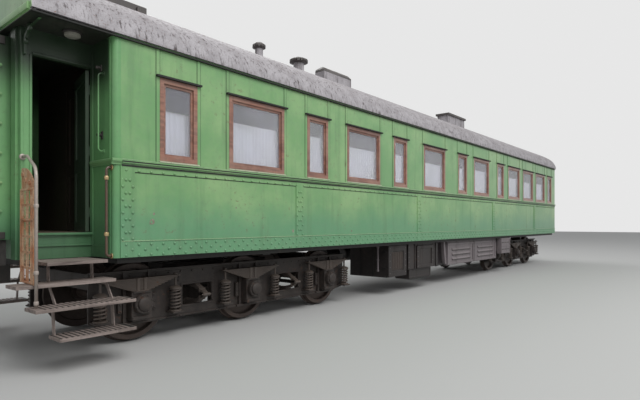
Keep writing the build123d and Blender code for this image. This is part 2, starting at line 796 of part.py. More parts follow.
with BuildPart() as battery_box:
    block(BATTERY_X, (-BATTERY_HALF, -500), BATTERY_Z)
    middle_x = sum(BATTERY_X) / 2
    for bay in ((BATTERY_X[0], middle_x), (middle_x, BATTERY_X[1])):
        block(
            (bay[0] + BATTERY_SKIN, bay[1] - BATTERY_SKIN),
            (-BATTERY_HALF, -500 - BATTERY_SKIN),
            (BATTERY_Z[0] + BATTERY_SKIN, BATTERY_Z[1] - BATTERY_SKIN - 20),
            mode=Mode.SUBTRACT,
        )
save(battery_box.part, "battery_box")

for door_name, (first, last) in (
    ("battery_door_front", (BATTERY_X[0], middle_x)),
    ("battery_door_rear", (middle_x, BATTERY_X[1])),
):
    with BuildPart() as door:
        block(
            (first + 12, last - 12),
            (-BATTERY_HALF - BATTERY_DOOR - SEAT_GAP, -BATTERY_HALF - SEAT_GAP),
            (BATTERY_Z[0] + 12, BATTERY_Z[1] - 30),
        )
        hinge_y = -BATTERY_HALF - SEAT_GAP - BATTERY_DOOR / 2
        for hinge_x in (first + 250, last - 250):
            with Locations(Location((hinge_x, hinge_y, BATTERY_Z[0] + 12), (0, 90, 0))):
                Cylinder(BARREL, 120)
    save(door.part, door_name)

with BuildPart() as relay_box:
    block((3860.0, 4720.0), (-1500.0, -1370.0), (640.0, SILL_BOTTOM))
save(relay_box.part, "relay_box")

with BuildPart() as brake_cylinder:
    with BuildSketch(Plane.YZ.offset(-2600)):
        with Locations((700, 830)):
            Circle(200)
    extrude(amount=520)
    with BuildSketch(Plane.YZ.offset(-2700)):
        with Locations((700, 830)):
            Circle(60)
    extrude(amount=100)
    block((-2555, -2485), (560, 840), (1000, SILL_BOTTOM))
save(brake_cylinder.part, "brake_cylinder")

tanks = []
for tank_x in (-1500.0, 700.0):  # first x of each tank
    with BuildPart() as tank:
        with Locations(Location((tank_x + 700, 900, 800), (0, 90, 0))):
            Cylinder(190, 1400)
        fillet(tank.edges().filter_by(GeomType.CIRCLE), 60)
        for strap_x in (tank_x + 250, tank_x + 1150):
            block((strap_x - 30, strap_x + 30), (880, 920), (980, SILL_BOTTOM))
    tanks.append(tank.part)
save(Compound(children=tanks), "air_reservoirs")


# Doors, each hung in its doorway
def door_leaf(width, height):
    """A framed leaf that stands on z = 0, with its hinge edge at x = 0, running to -X."""
    with BuildPart() as leaf:
        block((-width, 0), (0, LEAF), (0, height))
        block((-width + 90, -90), (0, 10), (120, height * 0.38), mode=Mode.SUBTRACT)
        block((-width + 90, -90), (0, LEAF), (height * 0.47, height - 130), mode=Mode.SUBTRACT)
        block((-width + 90, -90), (LEAF / 2 - 4, LEAF / 2 + 4), (height * 0.47, height - 130))
        for level in (0.12, 0.5, 0.88):
            z = height * level
            block((-40, 0), (LEAF, LEAF + LEAF_GAP), (z - 60, z + 60))
            with Locations((0, LEAF + LEAF_GAP, z)):
                Cylinder(LEAF_GAP - SEAT_GAP, 120)
    return leaf.part


LEAF_HEIGHT = DOOR_HEAD - FLOOR_TOP - 2 * LEAF_GAP
side_leaf_width = SIDE_DOOR_WIDTH - 2 * LEAF_GAP
hinge_x = CORNER_X - LEAF_GAP
leaf = door_leaf(side_leaf_width, LEAF_HEIGHT)
closed_left = leaf.moved(Location((hinge_x, -VESTIBULE_INNER - LEAF - LEAF_GAP, FLOOR_TOP + LEAF_GAP)))
hinge_left = Axis((hinge_x, -VESTIBULE_INNER, 0), (0, 0, 1))
save(closed_left.rotate(hinge_left, -SIDE_DOOR_OPEN), "side_door_left")
save(mirrored(closed_left), "side_door_right")

end_leaf = door_leaf(END_DOOR_WIDTH - 2 * LEAF_GAP, LEAF_HEIGHT)
end_hinge_y = END_DOOR_WIDTH / 2 - LEAF_GAP
inner_face = LEAF + LEAF_GAP
near_place = Location((END_WALL_X + END_WALL - inner_face, -end_hinge_y, FLOOR_TOP + LEAF_GAP))
far_place = Location((HALF_LENGTH - WALL + inner_face, end_hinge_y, FLOOR_TOP + LEAF_GAP))
save(end_leaf.rotate(Axis.Z, -90).moved(near_place), "end_door_near")
save(end_leaf.rotate(Axis.Z, 90).moved(far_place), "end_door_far")

inner_leaf = door_leaf(INNER_DOOR_WIDTH - 2 * LEAF_GAP, LEAF_HEIGHT)
inner_hinge_y = INNER_DOOR_WIDTH / 2 - LEAF_GAP
inner_place = Location((PARTITION_X + PARTITION - inner_face, -inner_hinge_y, FLOOR_TOP + LEAF_GAP))
save(inner_leaf.rotate(Axis.Z, -90).moved(inner_place), "vestibule_inner_door")


# Bogie pieces, each built about the pivot at x = 0
def wheelset():
    """An axle with its two wheels, each with a flanged tread, a dished disc and a hub."""
    with BuildPart() as pair:
        with BuildSketch(Plane.XY):
            with BuildLine():
                Polyline(
                    (0, 0),
                    (AXLE_RADIUS, 0),
                    (AXLE_RADIUS, WHEEL_INNER - 40),
                    (130, WHEEL_INNER - 40),
                    (130, WHEEL_INNER + 45),
                    (TREAD_RADIUS - 85, WHEEL_INNER + 25),
                    (TREAD_RADIUS - 70, WHEEL_INNER),
                    (TREAD_RADIUS + FLANGE - 8, WHEEL_INNER),
                    (TREAD_RADIUS + FLANGE, WHEEL_INNER + 10),
                    (TREAD_RADIUS + FLANGE - 4, WHEEL_INNER + 22),
                    (TREAD_RADIUS, WHEEL_INNER + FLANGE_WIDTH),
                    (TREAD_RADIUS - 6, WHEEL_OUTER),
                    (TREAD_RADIUS - 70, WHEEL_OUTER),
                    (TREAD_RADIUS - 85, WHEEL_INNER + 65),
                    (130, WHEEL_INNER + 85),
                    (130, WHEEL_OUTER + 20),
                    (JOURNAL_RADIUS + 20, WHEEL_OUTER + 20),
                    (JOURNAL_RADIUS + 20, WHEEL_OUTER + 60),
                    (JOURNAL_RADIUS, WHEEL_OUTER + 60),
                    (JOURNAL_RADIUS, JOURNAL_END),
                    (0, JOURNAL_END),
                    (0, 0),
                )
            make_face()
        revolve(axis=Axis.Y)
        mirror(about=Plane.XZ)
    return pair.part.moved(Location((0, 0, AXLE_Z)))


def bogie_frame():
    """Two pierced side plates with top flanges, joined by transoms and end beams."""
    with BuildPart() as frame:
        with BuildSketch(Plane.XZ.offset(PLATE_OUTER)):
            with BuildLine():
                Polyline(
                    (-BOGIE_HALF, PLATE_BOTTOM + 70),
                    (-BOGIE_HALF, PLATE_TOP),
                    (BOGIE_HALF, PLATE_TOP),
                    (BOGIE_HALF, PLATE_BOTTOM + 70),
                    (AXLE_SPACING + 260, PLATE_BOTTOM),
                    (-AXLE_SPACING - 260, PLATE_BOTTOM),
                    close=True,
                )
            make_face()
            for x in AXLES:
                with Locations((x, (BOX_BOTTOM + BOX_TOP) / 2)):
                    Rectangle(BOX_WIDTH + 16, BOX_TOP - BOX_BOTTOM + 16, mode=Mode.SUBTRACT)
            for x in (-AXLE_SPACING / 2, AXLE_SPACING / 2):
                with Locations((x, 570)):
                    RectangleRounded(2 * WINDOW_HALF, 300, 30, mode=Mode.SUBTRACT)
        extrude(amount=-PLATE)
        block((-BOGIE_HALF, BOGIE_HALF), (-PLATE_OUTER - 60, -PLATE_INNER), (PLATE_TOP, PLATE_TOP + 14))
        for x in AXLES:
            for side in SIDES:
                guide_x = sorted((x + side * (BOX_WIDTH / 2 + 8), x + side * (BOX_WIDTH / 2 + 56)))
                block(guide_x, (-PLATE_OUTER - HORN, -PLATE_OUTER), (PLATE_BOTTOM, PLATE_TOP))
            for offset_x in (-COIL_OFFSET, COIL_OFFSET):
                seat = x + offset_x
                if abs(seat) < BOGIE_HALF - 60:
                    block((seat - 75, seat + 75), (-SPRING_Y - 75, -PLATE_OUTER), (COIL_BOTTOM - 30, COIL_BOTTOM - 10))
        mirror(about=Plane.XZ)
        inner = (-PLATE_INNER, PLATE_INNER)
        for middle in (-AXLE_SPACING / 2, AXLE_SPACING / 2):
            for offset_x in (-TRANSOM_OFFSET, TRANSOM_OFFSET):
                x = middle + offset_x
                block((x - TRANSOM / 2, x + TRANSOM / 2), inner, (760, TRANSOM_TOP))
        for end in SIDES:
            x = end * (BOGIE_HALF - 20)
            block((x - 20, x + 20), inner, (PLATE_TOP - 200, PLATE_TOP))
    return frame.part


def bolster():
    """Two cross beams tied by a centre beam that carries the bearing bowl."""
    with BuildPart() as beam:
        for x in (-AXLE_SPACING / 2, AXLE_SPACING / 2):
            block((x - 130, x + 130), (-860, 860), (ELLIPTIC_TOP + SEAT_GAP, 880))
            block((x - 130, x + 130), (-210, 210), (880, CENTRE_BEAM_TOP))
        block((-AXLE_SPACING / 2, AXLE_SPACING / 2), (-210, 210), (TRANSOM_TOP + 12, CENTRE_BEAM_TOP))
        with Locations((0, 0, (CENTRE_BEAM_TOP + BEARING_Z - SEAT_GAP) / 2)):
            Cylinder(BEARING_RADIUS + 20, BEARING_Z - SEAT_GAP - CENTRE_BEAM_TOP)
    return beam.part


def elliptic_spring():
    """One full elliptic spring across the left half of the bogie, with its tips at Y."""
    tip_out, tip_in = -1200.0, -130.0
    mid = (tip_out + tip_in) / 2
    with BuildPart() as spring:
        with BuildSketch(Plane.YZ.offset(-50)):
            with BuildLine():
                ThreePointArc((tip_out, 575), (mid, ELLIPTIC_TOP), (tip_in, 575))
                Line((tip_in, 575), (tip_in, 565))
                ThreePointArc((tip_in, 565), (mid, ELLIPTIC_BOTTOM), (tip_out, 565))
                Line((tip_out, 565), (tip_out, 575))
            make_face()
            with BuildLine():
                ThreePointArc((tip_out + 60, 570), (mid, 680), (tip_in - 60, 570))
                ThreePointArc((tip_in - 60, 570), (mid, 460), (tip_out + 60, 570))
            make_face(mode=Mode.SUBTRACT)
        extrude(amount=100)
    return spring.part


def spring_plank():
    """A plank under one pair of elliptic springs, hung by four links from the transoms."""
    with BuildPart() as plank:
        link_x = TRANSOM_OFFSET - TRANSOM / 2
        block((-120, 120), (-900, 900), (340, ELLIPTIC_BOTTOM - SEAT_GAP))
        for y in (-880, 880):
            for x in (-link_x + 12, link_x - 12):
                block((x - 12, x + 12), (y - 20, y + 20), (340, 850))
            block((-link_x, link_x), (y - 20, y + 20), (340, 380))
    return plank.part


def axle_spring():
    """The leaf spring over one axlebox with the coil spring at each of its ends."""
    with BuildPart() as leaves:
        thick = (LEAF_TOP - BOX_TOP) / LEAVES
        for leaf in range(LEAVES):
            half = LEAF_SHORT + (LEAF_HALF - LEAF_SHORT) * leaf / (LEAVES - 1)
            leaf_z = (BOX_TOP + leaf * thick, BOX_TOP + (leaf + 1) * thick)
            block((-half, half), (-SPRING_Y - 45, -SPRING_Y + 45), leaf_z)
        for x in (-COIL_OFFSET, COIL_OFFSET):
            with Locations((x, -SPRING_Y, (LEAF_TOP - 25 + COIL_BOTTOM) / 2)):
                Cylinder(16, LEAF_TOP - 25 - COIL_BOTTOM)
            for level in (COIL_BOTTOM - 5, COIL_TOP):
                with Locations((x, -SPRING_Y, level)):
                    Cylinder(COIL_RADIUS, 10)
            turns = 6
            for turn in range(turns):
                z = COIL_BOTTOM + (COIL_TOP - COIL_BOTTOM) * (turn + 0.5) / turns
                with Locations((x, -SPRING_Y, z)):
                    Cylinder(COIL_RADIUS, 2 * COIL_WIRE)
    return leaves.part


def axlebox():
    """The box on one journal, with its round cover outside."""
    with BuildPart() as box:
        block((-BOX_WIDTH / 2, BOX_WIDTH / 2), (-BOX_OUTER + 60, -WHEEL_OUTER - 70), (BOX_BOTTOM, BOX_TOP))
        fillet(box.edges().filter_by(Axis.Y), 30)
        with BuildSketch(Plane.XZ.offset(BOX_OUTER - 60)):
            with Locations((0, AXLE_Z)):
                Circle(135)
        extrude(amount=60)
        with BuildSketch(Plane.XZ.offset(WHEEL_OUTER + 70)):
            with Locations((0, AXLE_Z)):
                Circle(JOURNAL_RADIUS + RUNNING_FIT)
        extrude(amount=JOURNAL_END - WHEEL_OUTER - 70 + 1, mode=Mode.SUBTRACT)
    return box.part


def brake_unit():
    """A brake beam across the bogie with a block for each wheel of one axle, on its +X side."""
    with BuildPart() as unit:
        with BuildSketch(Plane.XZ.offset(WHEEL_OUTER - 8)):
            with Locations((0, AXLE_Z)):
                Circle(TREAD_RADIUS + 66)
                Circle(TREAD_RADIUS + 8, mode=Mode.SUBTRACT)
            with Locations((TREAD_RADIUS - 25, AXLE_Z - 60)):
                Rectangle(300, 300, mode=Mode.INTERSECT)
        extrude(amount=-88)
        mirror(about=Plane.XZ)
        beam_x = TREAD_RADIUS + 45
        block((beam_x, beam_x + 60), (-WHEEL_OUTER + 20, WHEEL_OUTER - 20), (AXLE_Z - 83, AXLE_Z - 23))
        for side in SIDES:
            hang_y = sorted((side * 790, side * 815))
            block((beam_x + 20, beam_x + 45), hang_y, (AXLE_Z - 53, 800))
            block((beam_x + 20, AXLE_SPACING / 2 - TRANSOM_OFFSET - TRANSOM / 2), hang_y, (780, 815))
    return unit.part


wheelset_part = wheelset()
frame_part = bogie_frame()
bolster_part = bolster()
spring_part = elliptic_spring()
plank_part = spring_plank()
leaf_part = axle_spring()
box_part = axlebox()
brake_part = brake_unit()

springs_at = (-AXLE_SPACING / 2, AXLE_SPACING / 2)
elliptics = [spring_part.moved(Location((x, 0, 0))) for x in springs_at]
elliptics += [mirrored(piece) for piece in elliptics]
planks = [plank_part.moved(Location((x, 0, 0))) for x in springs_at]
axle_springs = [leaf_part.moved(Location((x, 0, 0))) for x in AXLES]
axle_springs += [mirrored(piece) for piece in axle_springs]
boxes = [box_part.moved(Location((x, 0, 0))) for x in AXLES]
boxes += [mirrored(piece) for piece in boxes]
turned_brake = brake_part.rotate(Axis.Z, 180)
brakes = [
    brake_part.moved(Location((-AXLE_SPACING, 0, 0))),
    brake_part.moved(Location((0, 0, 0))),
    turned_brake.moved(Location((AXLE_SPACING, 0, 0))),
]

for bogie_name, pivot in (("near", -PIVOT_X), ("far", PIVOT_X)):
    at = Location((pivot, 0, 0))
    save(frame_part.moved(at), f"bogie_frame_{bogie_name}")
    save(bolster_part.moved(at), f"bogie_bolster_{bogie_name}")
    save(Compound(children=[p.moved(at) for p in elliptics]), f"elliptic_springs_{bogie_name}")
    save(Compound(children=[p.moved(at) for p in planks]), f"spring_planks_{bogie_name}")
    save(Compound(children=[p.moved(at) for p in axle_springs]), f"axle_springs_{bogie_name}")
    save(Compound(children=[p.moved(at) for p in boxes]), f"axleboxes_{bogie_name}")
    save(Compound(children=[p.moved(at) for p in brakes]), f"brake_gear_{bogie_name}")
    for number, axle_x in enumerate(AXLES, start=1):
        save(wheelset_part.moved(Location((pivot + axle_x, 0, 0))), f"wheelset_{bogie_name}_{number}")
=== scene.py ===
import json
import logging
from collections.abc import Callable, Iterator
from contextlib import contextmanager
from dataclasses import dataclass
from enum import Enum
from math import atan2, cos, pi, radians, sin

import bpy
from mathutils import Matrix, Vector

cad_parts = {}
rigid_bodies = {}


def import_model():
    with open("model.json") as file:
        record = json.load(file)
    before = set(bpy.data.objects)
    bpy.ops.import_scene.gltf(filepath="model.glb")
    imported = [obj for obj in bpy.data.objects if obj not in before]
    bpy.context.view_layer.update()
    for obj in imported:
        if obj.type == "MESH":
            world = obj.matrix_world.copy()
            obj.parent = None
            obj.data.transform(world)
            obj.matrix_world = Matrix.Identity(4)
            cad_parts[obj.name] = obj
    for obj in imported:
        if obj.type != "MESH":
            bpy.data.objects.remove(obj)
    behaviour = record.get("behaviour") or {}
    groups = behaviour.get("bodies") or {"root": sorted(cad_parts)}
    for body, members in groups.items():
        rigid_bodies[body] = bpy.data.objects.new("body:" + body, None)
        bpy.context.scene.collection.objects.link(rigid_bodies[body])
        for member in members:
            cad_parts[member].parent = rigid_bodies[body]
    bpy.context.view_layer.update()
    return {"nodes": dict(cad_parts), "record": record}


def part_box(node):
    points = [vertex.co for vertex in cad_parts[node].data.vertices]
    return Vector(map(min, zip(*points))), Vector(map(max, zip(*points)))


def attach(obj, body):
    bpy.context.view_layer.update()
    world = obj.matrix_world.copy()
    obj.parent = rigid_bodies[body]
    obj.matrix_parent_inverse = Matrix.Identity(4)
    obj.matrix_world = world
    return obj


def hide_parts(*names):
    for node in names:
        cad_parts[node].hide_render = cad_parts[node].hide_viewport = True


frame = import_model()

log = logging.getLogger("passenger_coach")

Colour = tuple[float, float, float]
Point = tuple[float, float, float]
Span = tuple[float, float]
Test = Callable[[Vector, Vector], bool]
Rows = tuple[tuple, ...]


class Slot(Enum):
    """The record's material slots."""

    BODY = "body_paint"
    ROOF = "roof_paint"
    VENT = "vent_paint"
    CEILING = "ceiling_paint"
    UNDERFRAME = "underframe_paint"
    BOX = "box_paint"
    BOGIE = "bogie_paint"
    SPRING = "spring_steel"
    WHEEL = "wheel_steel"
    CAST = "cast_steel"
    RUSTY = "rusty_cast_iron"
    RAIL = "rail_steel"
    VARNISH = "varnished_wood"
    STEP = "step_wood"
    FLOOR = "floor_wood"
    GLASS = "window_glass"


class Axis(Enum):
    """The frame's axes, by their place in a vector."""

    X = 0
    Y = 1
    Z = 2


class Graph:
    """Adds nodes and links to one shader node tree."""

    def __init__(self, tree: bpy.types.NodeTree) -> None:
        """Keep the tree.

        Args:
            tree: The node tree that the nodes go into.
        """
        self.tree = tree

    def node(self, kind: str, **settings: object) -> bpy.types.Node:
        """Add one node.

        Args:
            kind: The node's type name.
            settings: Properties set on the node.

        Returns:
            The new node.
        """
        made = self.tree.nodes.new(kind)
        for key, value in settings.items():
            setattr(made, key, value)
        return made

    def feed(self, socket: bpy.types.NodeSocket, value: object) -> None:
        """Link a socket to an input, or set the input to a plain value.

        Args:
            socket: The input.
            value: A socket, a number or a colour.
        """
        if isinstance(value, bpy.types.NodeSocket):
            self.tree.links.new(value, socket)
        elif isinstance(value, tuple) and len(value) == 3 and socket.type == "RGBA":
            socket.default_value = (*value, 1.0)
        else:
            socket.default_value = value

    def math(
        self, operation: str, first: object, second: object = 0.0, held: bool = True
    ) -> bpy.types.NodeSocket:
        """Add a Math node.

        Args:
            operation: The operation's name.
            first: The first value or socket.
            second: The second value or socket.
            held: Whether the result is kept between 0 and 1.

        Returns:
            The result's socket.
        """
        made = self.node("ShaderNodeMath", operation=operation, use_clamp=held)
        self.feed(made.inputs[0], first)
        self.feed(made.inputs[1], second)
        return made.outputs[0]

    def blend(self, amount: object, first: object, second: object) -> bpy.types.NodeSocket:
        """Mix two colours.

        Args:
            amount: How much of the second colour shows.
            first: The first colour or socket.
            second: The second colour or socket.

        Returns:
            The mixed colour's socket.
        """
        made = self.node("ShaderNodeMix", data_type="RGBA")
        self.feed(made.inputs[0], amount)
        self.feed(made.inputs[6], first)
        self.feed(made.inputs[7], second)
        return made.outputs[2]

    def span(
        self, value: object, low: float, high: float, start: float = 0.0, end: float = 1.0
    ) -> bpy.types.NodeSocket:
        """Map a value from one range to another, smoothly and with its ends held.

        Args:
            value: The value's socket.
            low: The value that gives the start.
            high: The value that gives the end.
            start: The result at low.
            end: The result at high.

        Returns:
            The mapped value's socket.
        """
        made = self.node("ShaderNodeMapRange", interpolation_type="SMOOTHSTEP")
        self.feed(made.inputs[0], value)
        for index, number in enumerate((low, high, start, end), start=1):
            made.inputs[index].default_value = number
        return made.outputs[0]

    def place(self, stretch: Point) -> bpy.types.NodeSocket:
        """Give the object coordinates, stretched along each axis.

        Args:
            stretch: The factor along X, Y and Z.

        Returns:
            The stretched coordinates' socket.
        """
        where = self.node("ShaderNodeTexCoord")
        mapping = self.node("ShaderNodeMapping")
        mapping.inputs["Scale"].default_value = stretch
        self.feed(mapping.inputs["Vector"], where.outputs["Object"])
        return mapping.outputs[0]

    def noise(
        self, where: object, scale: object, detail: float = 4.0, rough: float = 0.55
    ) -> bpy.types.NodeSocket:
        """Add a noise texture.

        Args:
            where: The coordinates' socket.
            scale: How fine the noise is.
            detail: How many finer layers it has.
            rough: How strong those layers are.

        Returns:
            The noise value's socket.
        """
        made = self.node("ShaderNodeTexNoise")
        self.feed(made.inputs["Vector"], where)
        self.feed(made.inputs["Scale"], scale)
        made.inputs["Detail"].default_value = detail
        made.inputs["Roughness"].default_value = rough
        return made.outputs[0]


def shared_group(
    name: str, inputs: dict[str, object], outputs: tuple[str, ...]
) -> tuple[Graph, dict[str, bpy.types.NodeSocket], dict[str, bpy.types.NodeSocket]]:
    """Start a shader node group with named sockets.

    Args:
        name: The group's name.
        inputs: Each input's name and its usual value, a number or a colour.
        outputs: Each output's name. One that ends in Colour is a colour, the rest are numbers.

    Returns:
        The group's graph, its input sockets by name, and its output sockets by name.
    """
    tree = bpy.data.node_groups.new(name, "ShaderNodeTree")
    for label, value in inputs.items():
        kind = "NodeSocketColor" if isinstance(value, tuple) else "NodeSocketFloat"
        made = tree.interface.new_socket(label, in_out="INPUT", socket_type=kind)
        made.default_value = (*value, 1.0) if isinstance(value, tuple) else value
    for label in outputs:
        kind = "NodeSocketColor" if label.endswith("Colour") else "NodeSocketFloat"
        tree.interface.new_socket(label, in_out="OUTPUT", socket_type=kind)
    graph = Graph(tree)
    source = graph.node("NodeGroupInput")
    target = graph.node("NodeGroupOutput")
    given = {socket.name: socket for socket in source.outputs if socket.name}
    result = {socket.name: socket for socket in target.inputs if socket.name}
    return graph, given, result


SILL_SHADE = (1.75, 2.35)
# Painted shade inside the entrance: the heights under the sill and the eaves, the recess's sides and the
# shade's colour
SILL_PAINTED_SHADE = (1.5, 2.1)
EAVES_PAINTED_SHADE = (3.3, 3.85)
RECESS_SIDES = (1.38, 1.5)
PAINTED_SHADE_COLOUR = (0.012, 0.018, 0.012)


def weathering_and_shade_group() -> bpy.types.NodeTree:
    """Build faded patches, run-down streaks, settled dust, rust and painted shade for any surface.

    The low shade and the painted shade under the eaves and the sill lie between two heights, and the
    painted shade only inside the entrance.

    Returns:
        The shader node group.
    """
    usual = {
        "Colour": (0.2, 0.2, 0.2),
        "Fade Colour": (0.3, 0.3, 0.3),
        "Dirt Colour": (0.05, 0.045, 0.04),
        "Dust Colour": (0.3, 0.27, 0.23),
        "Rust Colour": (0.2, 0.07, 0.03),
        "Fade": 0.5,
        "Dirt": 0.3,
        "Dust": 0.3,
        "Rust": 0.1,
        "Painted Shade": 0.0,
        "Low Colour": (0.1, 0.29, 0.15),
        "Low": 0.0,
        "Fineness": 1.0,
    }
    graph, given, result = shared_group("weathering_and_shade", usual, ("Surface Colour", "Wear", "Relief"))
    plain = graph.place((1.0, 1.0, 1.0))
    runs = graph.place((6.0, 6.0, 0.45))
    patch = graph.noise(plain, given["Fineness"], 6.0, 0.6)
    streak = graph.noise(runs, given["Fineness"], 5.0, 0.65)
    grit = graph.noise(plain, graph.math("MULTIPLY", given["Fineness"], 14.0, held=False), 5.0, 0.7)
    normal = graph.node("ShaderNodeNewGeometry")
    parts = graph.node("ShaderNodeSeparateXYZ")
    graph.feed(parts.inputs[0], normal.outputs["Normal"])
    upward = graph.span(parts.outputs["Z"], 0.2, 0.9)

    fade_mask = graph.math("MULTIPLY", graph.span(patch, 0.35, 0.7), given["Fade"])
    streak_mask = graph.math("MULTIPLY", graph.span(streak, 0.5, 0.72), given["Dirt"])
    grit_mask = graph.math("MULTIPLY", graph.span(grit, 0.45, 0.75), given["Dirt"])
    specks = graph.span(grit, 0.3, 0.7, 0.15, 0.5)
    settled = graph.math("ADD", specks, graph.math("MULTIPLY", upward, 0.6))
    dust_mask = graph.math("MULTIPLY", settled, given["Dust"])
    spots = graph.math("MULTIPLY", graph.span(grit, 0.6, 0.68), graph.span(patch, 0.45, 0.6))
    rust_mask = graph.math("MULTIPLY", spots, given["Rust"])

    colour = graph.blend(fade_mask, given["Colour"], given["Fade Colour"])
    spot = graph.node("ShaderNodeSeparateXYZ")
    graph.feed(spot.inputs[0], plain)
    ragged = graph.math("ADD", spot.outputs["Z"], graph.math("MULTIPLY", patch, 0.5), held=False)
    low_mask = graph.math("MULTIPLY", graph.span(ragged, *SILL_SHADE, 1.0, 0.0), given["Low"])
    colour = graph.blend(low_mask, colour, given["Low Colour"])
    colour = graph.blend(streak_mask, colour, given["Dirt Colour"])
    colour = graph.blend(graph.math("MULTIPLY", grit_mask, 0.5), colour, given["Dirt Colour"])
    colour = graph.blend(dust_mask, colour, given["Dust Colour"])
    colour = graph.blend(rust_mask, colour, given["Rust Colour"])
    # Painted shade, darker under the roof and under the sill, only inside the entrance recess
    under_roof = graph.span(ragged, *EAVES_PAINTED_SHADE, 0.0, 0.93)
    under_sill = graph.span(ragged, *SILL_PAINTED_SHADE, 0.55, 0.0)
    from_middle = graph.math("ABSOLUTE", spot.outputs["Y"], held=False)
    recess = graph.span(from_middle, *RECESS_SIDES, 1.0, 0.0)
    painted_shade = graph.math("MULTIPLY", graph.math("ADD", under_roof, under_sill), recess)
    colour = graph.blend(graph.math("MULTIPLY", painted_shade, given["Painted Shade"]), colour, PAINTED_SHADE_COLOUR)
    graph.feed(result["Surface Colour"], colour)
    worn = graph.math("ADD", graph.math("ADD", streak_mask, dust_mask), rust_mask)
    graph.feed(result["Wear"], worn)
    half_grit = graph.math("MULTIPLY", grit, 0.5)
    graph.feed(result["Relief"], graph.math("ADD", half_grit, graph.math("MULTIPLY", rust_mask, 0.5)))
    return graph.tree


def grain_group() -> bpy.types.NodeTree:
    """Build wood grain that runs along X.

    Returns:
        The shader node group.
    """
    usual = {
        "Light Colour": (0.3, 0.15, 0.07),
        "Dark Colour": (0.1, 0.04, 0.02),
        "Fineness": 1.0,
    }
    graph, given, result = shared_group("wood_grain", usual, ("Grain Colour", "Relief"))
    along = graph.place((2.0, 22.0, 22.0))
    fibre = graph.noise(along, given["Fineness"], 8.0, 0.7)
    broad = graph.noise(graph.place((0.6, 5.0, 5.0)), given["Fineness"], 3.0)
    mask = graph.math("ADD", graph.math("MULTIPLY", fibre, 0.7), graph.math("MULTIPLY", broad, 0.3))
    tone = graph.span(mask, 0.38, 0.62)
    grained = graph.blend(tone, given["Light Colour"], given["Dark Colour"])
    graph.feed(result["Grain Colour"], grained)
    graph.feed(result["Relief"], fibre)
    return graph.tree


GROUPS = {"weathering_and_shade": weathering_and_shade_group(), "grain": grain_group()}


@dataclass(frozen=True)
class Finish:
    """A painted, bare or varnished surface with its weathering and any painted shade."""

    name: str
    base: Colour
    faded: Colour
    dirt: Colour = (0.035, 0.03, 0.027)
    dust: Colour = (0.2, 0.17, 0.145)
    rust: Colour = (0.16, 0.06, 0.028)
    fade_amount: float = 0.6
    dirt_amount: float = 0.3
    dust_amount: float = 0.25
    rust_amount: float = 0.1
    # How strongly painted shade darkens the surface under the roof and the sill inside the entrance
    painted_shade_amount: float = 0.0
    low: Colour = (0.1, 0.29, 0.15)
    low_amount: float = 0.0
    fineness: float = 1.0
    smooth: float = 0.45
    dull: float = 0.75
    metallic: float = 0.0
    coat: float = 0.0
    bump: float = 0.15
    bump_distance: float = 0.004
    grain: tuple[Colour, Colour] | None = None

    def material(self) -> bpy.types.Material:
        """Build the finish's material.

        Returns:
            The new material.
        """
        made = bpy.data.materials.new(self.name)
        made.use_nodes = True
        graph = Graph(made.node_tree)
        shader = made.node_tree.nodes["Principled BSDF"]
        wear_and_shade = graph.node("ShaderNodeGroup", node_tree=GROUPS["weathering_and_shade"])
        numbers = {
            "Fade Colour": self.faded,
            "Dirt Colour": self.dirt,
            "Dust Colour": self.dust,
            "Rust Colour": self.rust,
            "Fade": self.fade_amount,
            "Dirt": self.dirt_amount,
            "Dust": self.dust_amount,
            "Rust": self.rust_amount,
            "Painted Shade": self.painted_shade_amount,
            "Low Colour": self.low,
            "Low": self.low_amount,
            "Fineness": self.fineness,
        }
        for label, value in numbers.items():
            graph.feed(wear_and_shade.inputs[label], value)
        height = wear_and_shade.outputs["Relief"]
        if self.grain:
            grain = graph.node("ShaderNodeGroup", node_tree=GROUPS["grain"])
            graph.feed(grain.inputs["Light Colour"], self.grain[0])
            graph.feed(grain.inputs["Dark Colour"], self.grain[1])
            graph.feed(wear_and_shade.inputs["Colour"], grain.outputs["Grain Colour"])
            height = grain.outputs["Relief"]
        else:
            graph.feed(wear_and_shade.inputs["Colour"], self.base)
        graph.feed(shader.inputs["Base Color"], wear_and_shade.outputs["Surface Colour"])
        roughness = graph.span(wear_and_shade.outputs["Wear"], 0.0, 1.0, self.smooth, self.dull)
        graph.feed(shader.inputs["Roughness"], roughness)
        shader.inputs["Metallic"].default_value = self.metallic
        shader.inputs["Coat Weight"].default_value = self.coat
        shader.inputs["Coat Roughness"].default_value = 0.2
        bump = graph.node("ShaderNodeBump")
        bump.inputs["Strength"].default_value = self.bump
        bump.inputs["Distance"].default_value = self.bump_distance
        graph.feed(bump.inputs["Height"], height)
        graph.feed(shader.inputs["Normal"], bump.outputs[0])
        return made


@dataclass(frozen=True)
class Glazing:
    """Dusty window glass; its pale bluish veil is partly dust and partly a painted reflection of the sky.
    """

    name: str = "dusty_glass_painted_reflection"
    tint: Colour = (0.74, 0.74, 0.82)
    film_tint: Colour = (0.66, 0.68, 0.68)
    transmission: float = 0.6
    alpha: float = 0.42
    refraction: float = 1.45

    def material(self) -> bpy.types.Material:
        """Build the glass material.

        Returns:
            The new material.
        """
        made = bpy.data.materials.new(self.name)
        made.use_nodes = True
        graph = Graph(made.node_tree)
        shader = made.node_tree.nodes["Principled BSDF"]
        shader.inputs["Transmission Weight"].default_value = self.transmission
        shader.inputs["Alpha"].default_value = self.alpha
        shader.inputs["IOR"].default_value = self.refraction
        film = graph.noise(graph.place((1.0, 1.0, 1.0)), 3.0, 6.0, 0.6)
        graph.feed(shader.inputs["Roughness"], graph.span(film, 0.35, 0.75, 0.02, 0.12))
        # The veil's colour: partly a dust film, partly a painted reflection of the sky
        colour = graph.blend(graph.span(film, 0.4, 0.8), self.tint, self.film_tint)
        graph.feed(shader.inputs["Base Color"], colour)
        return made


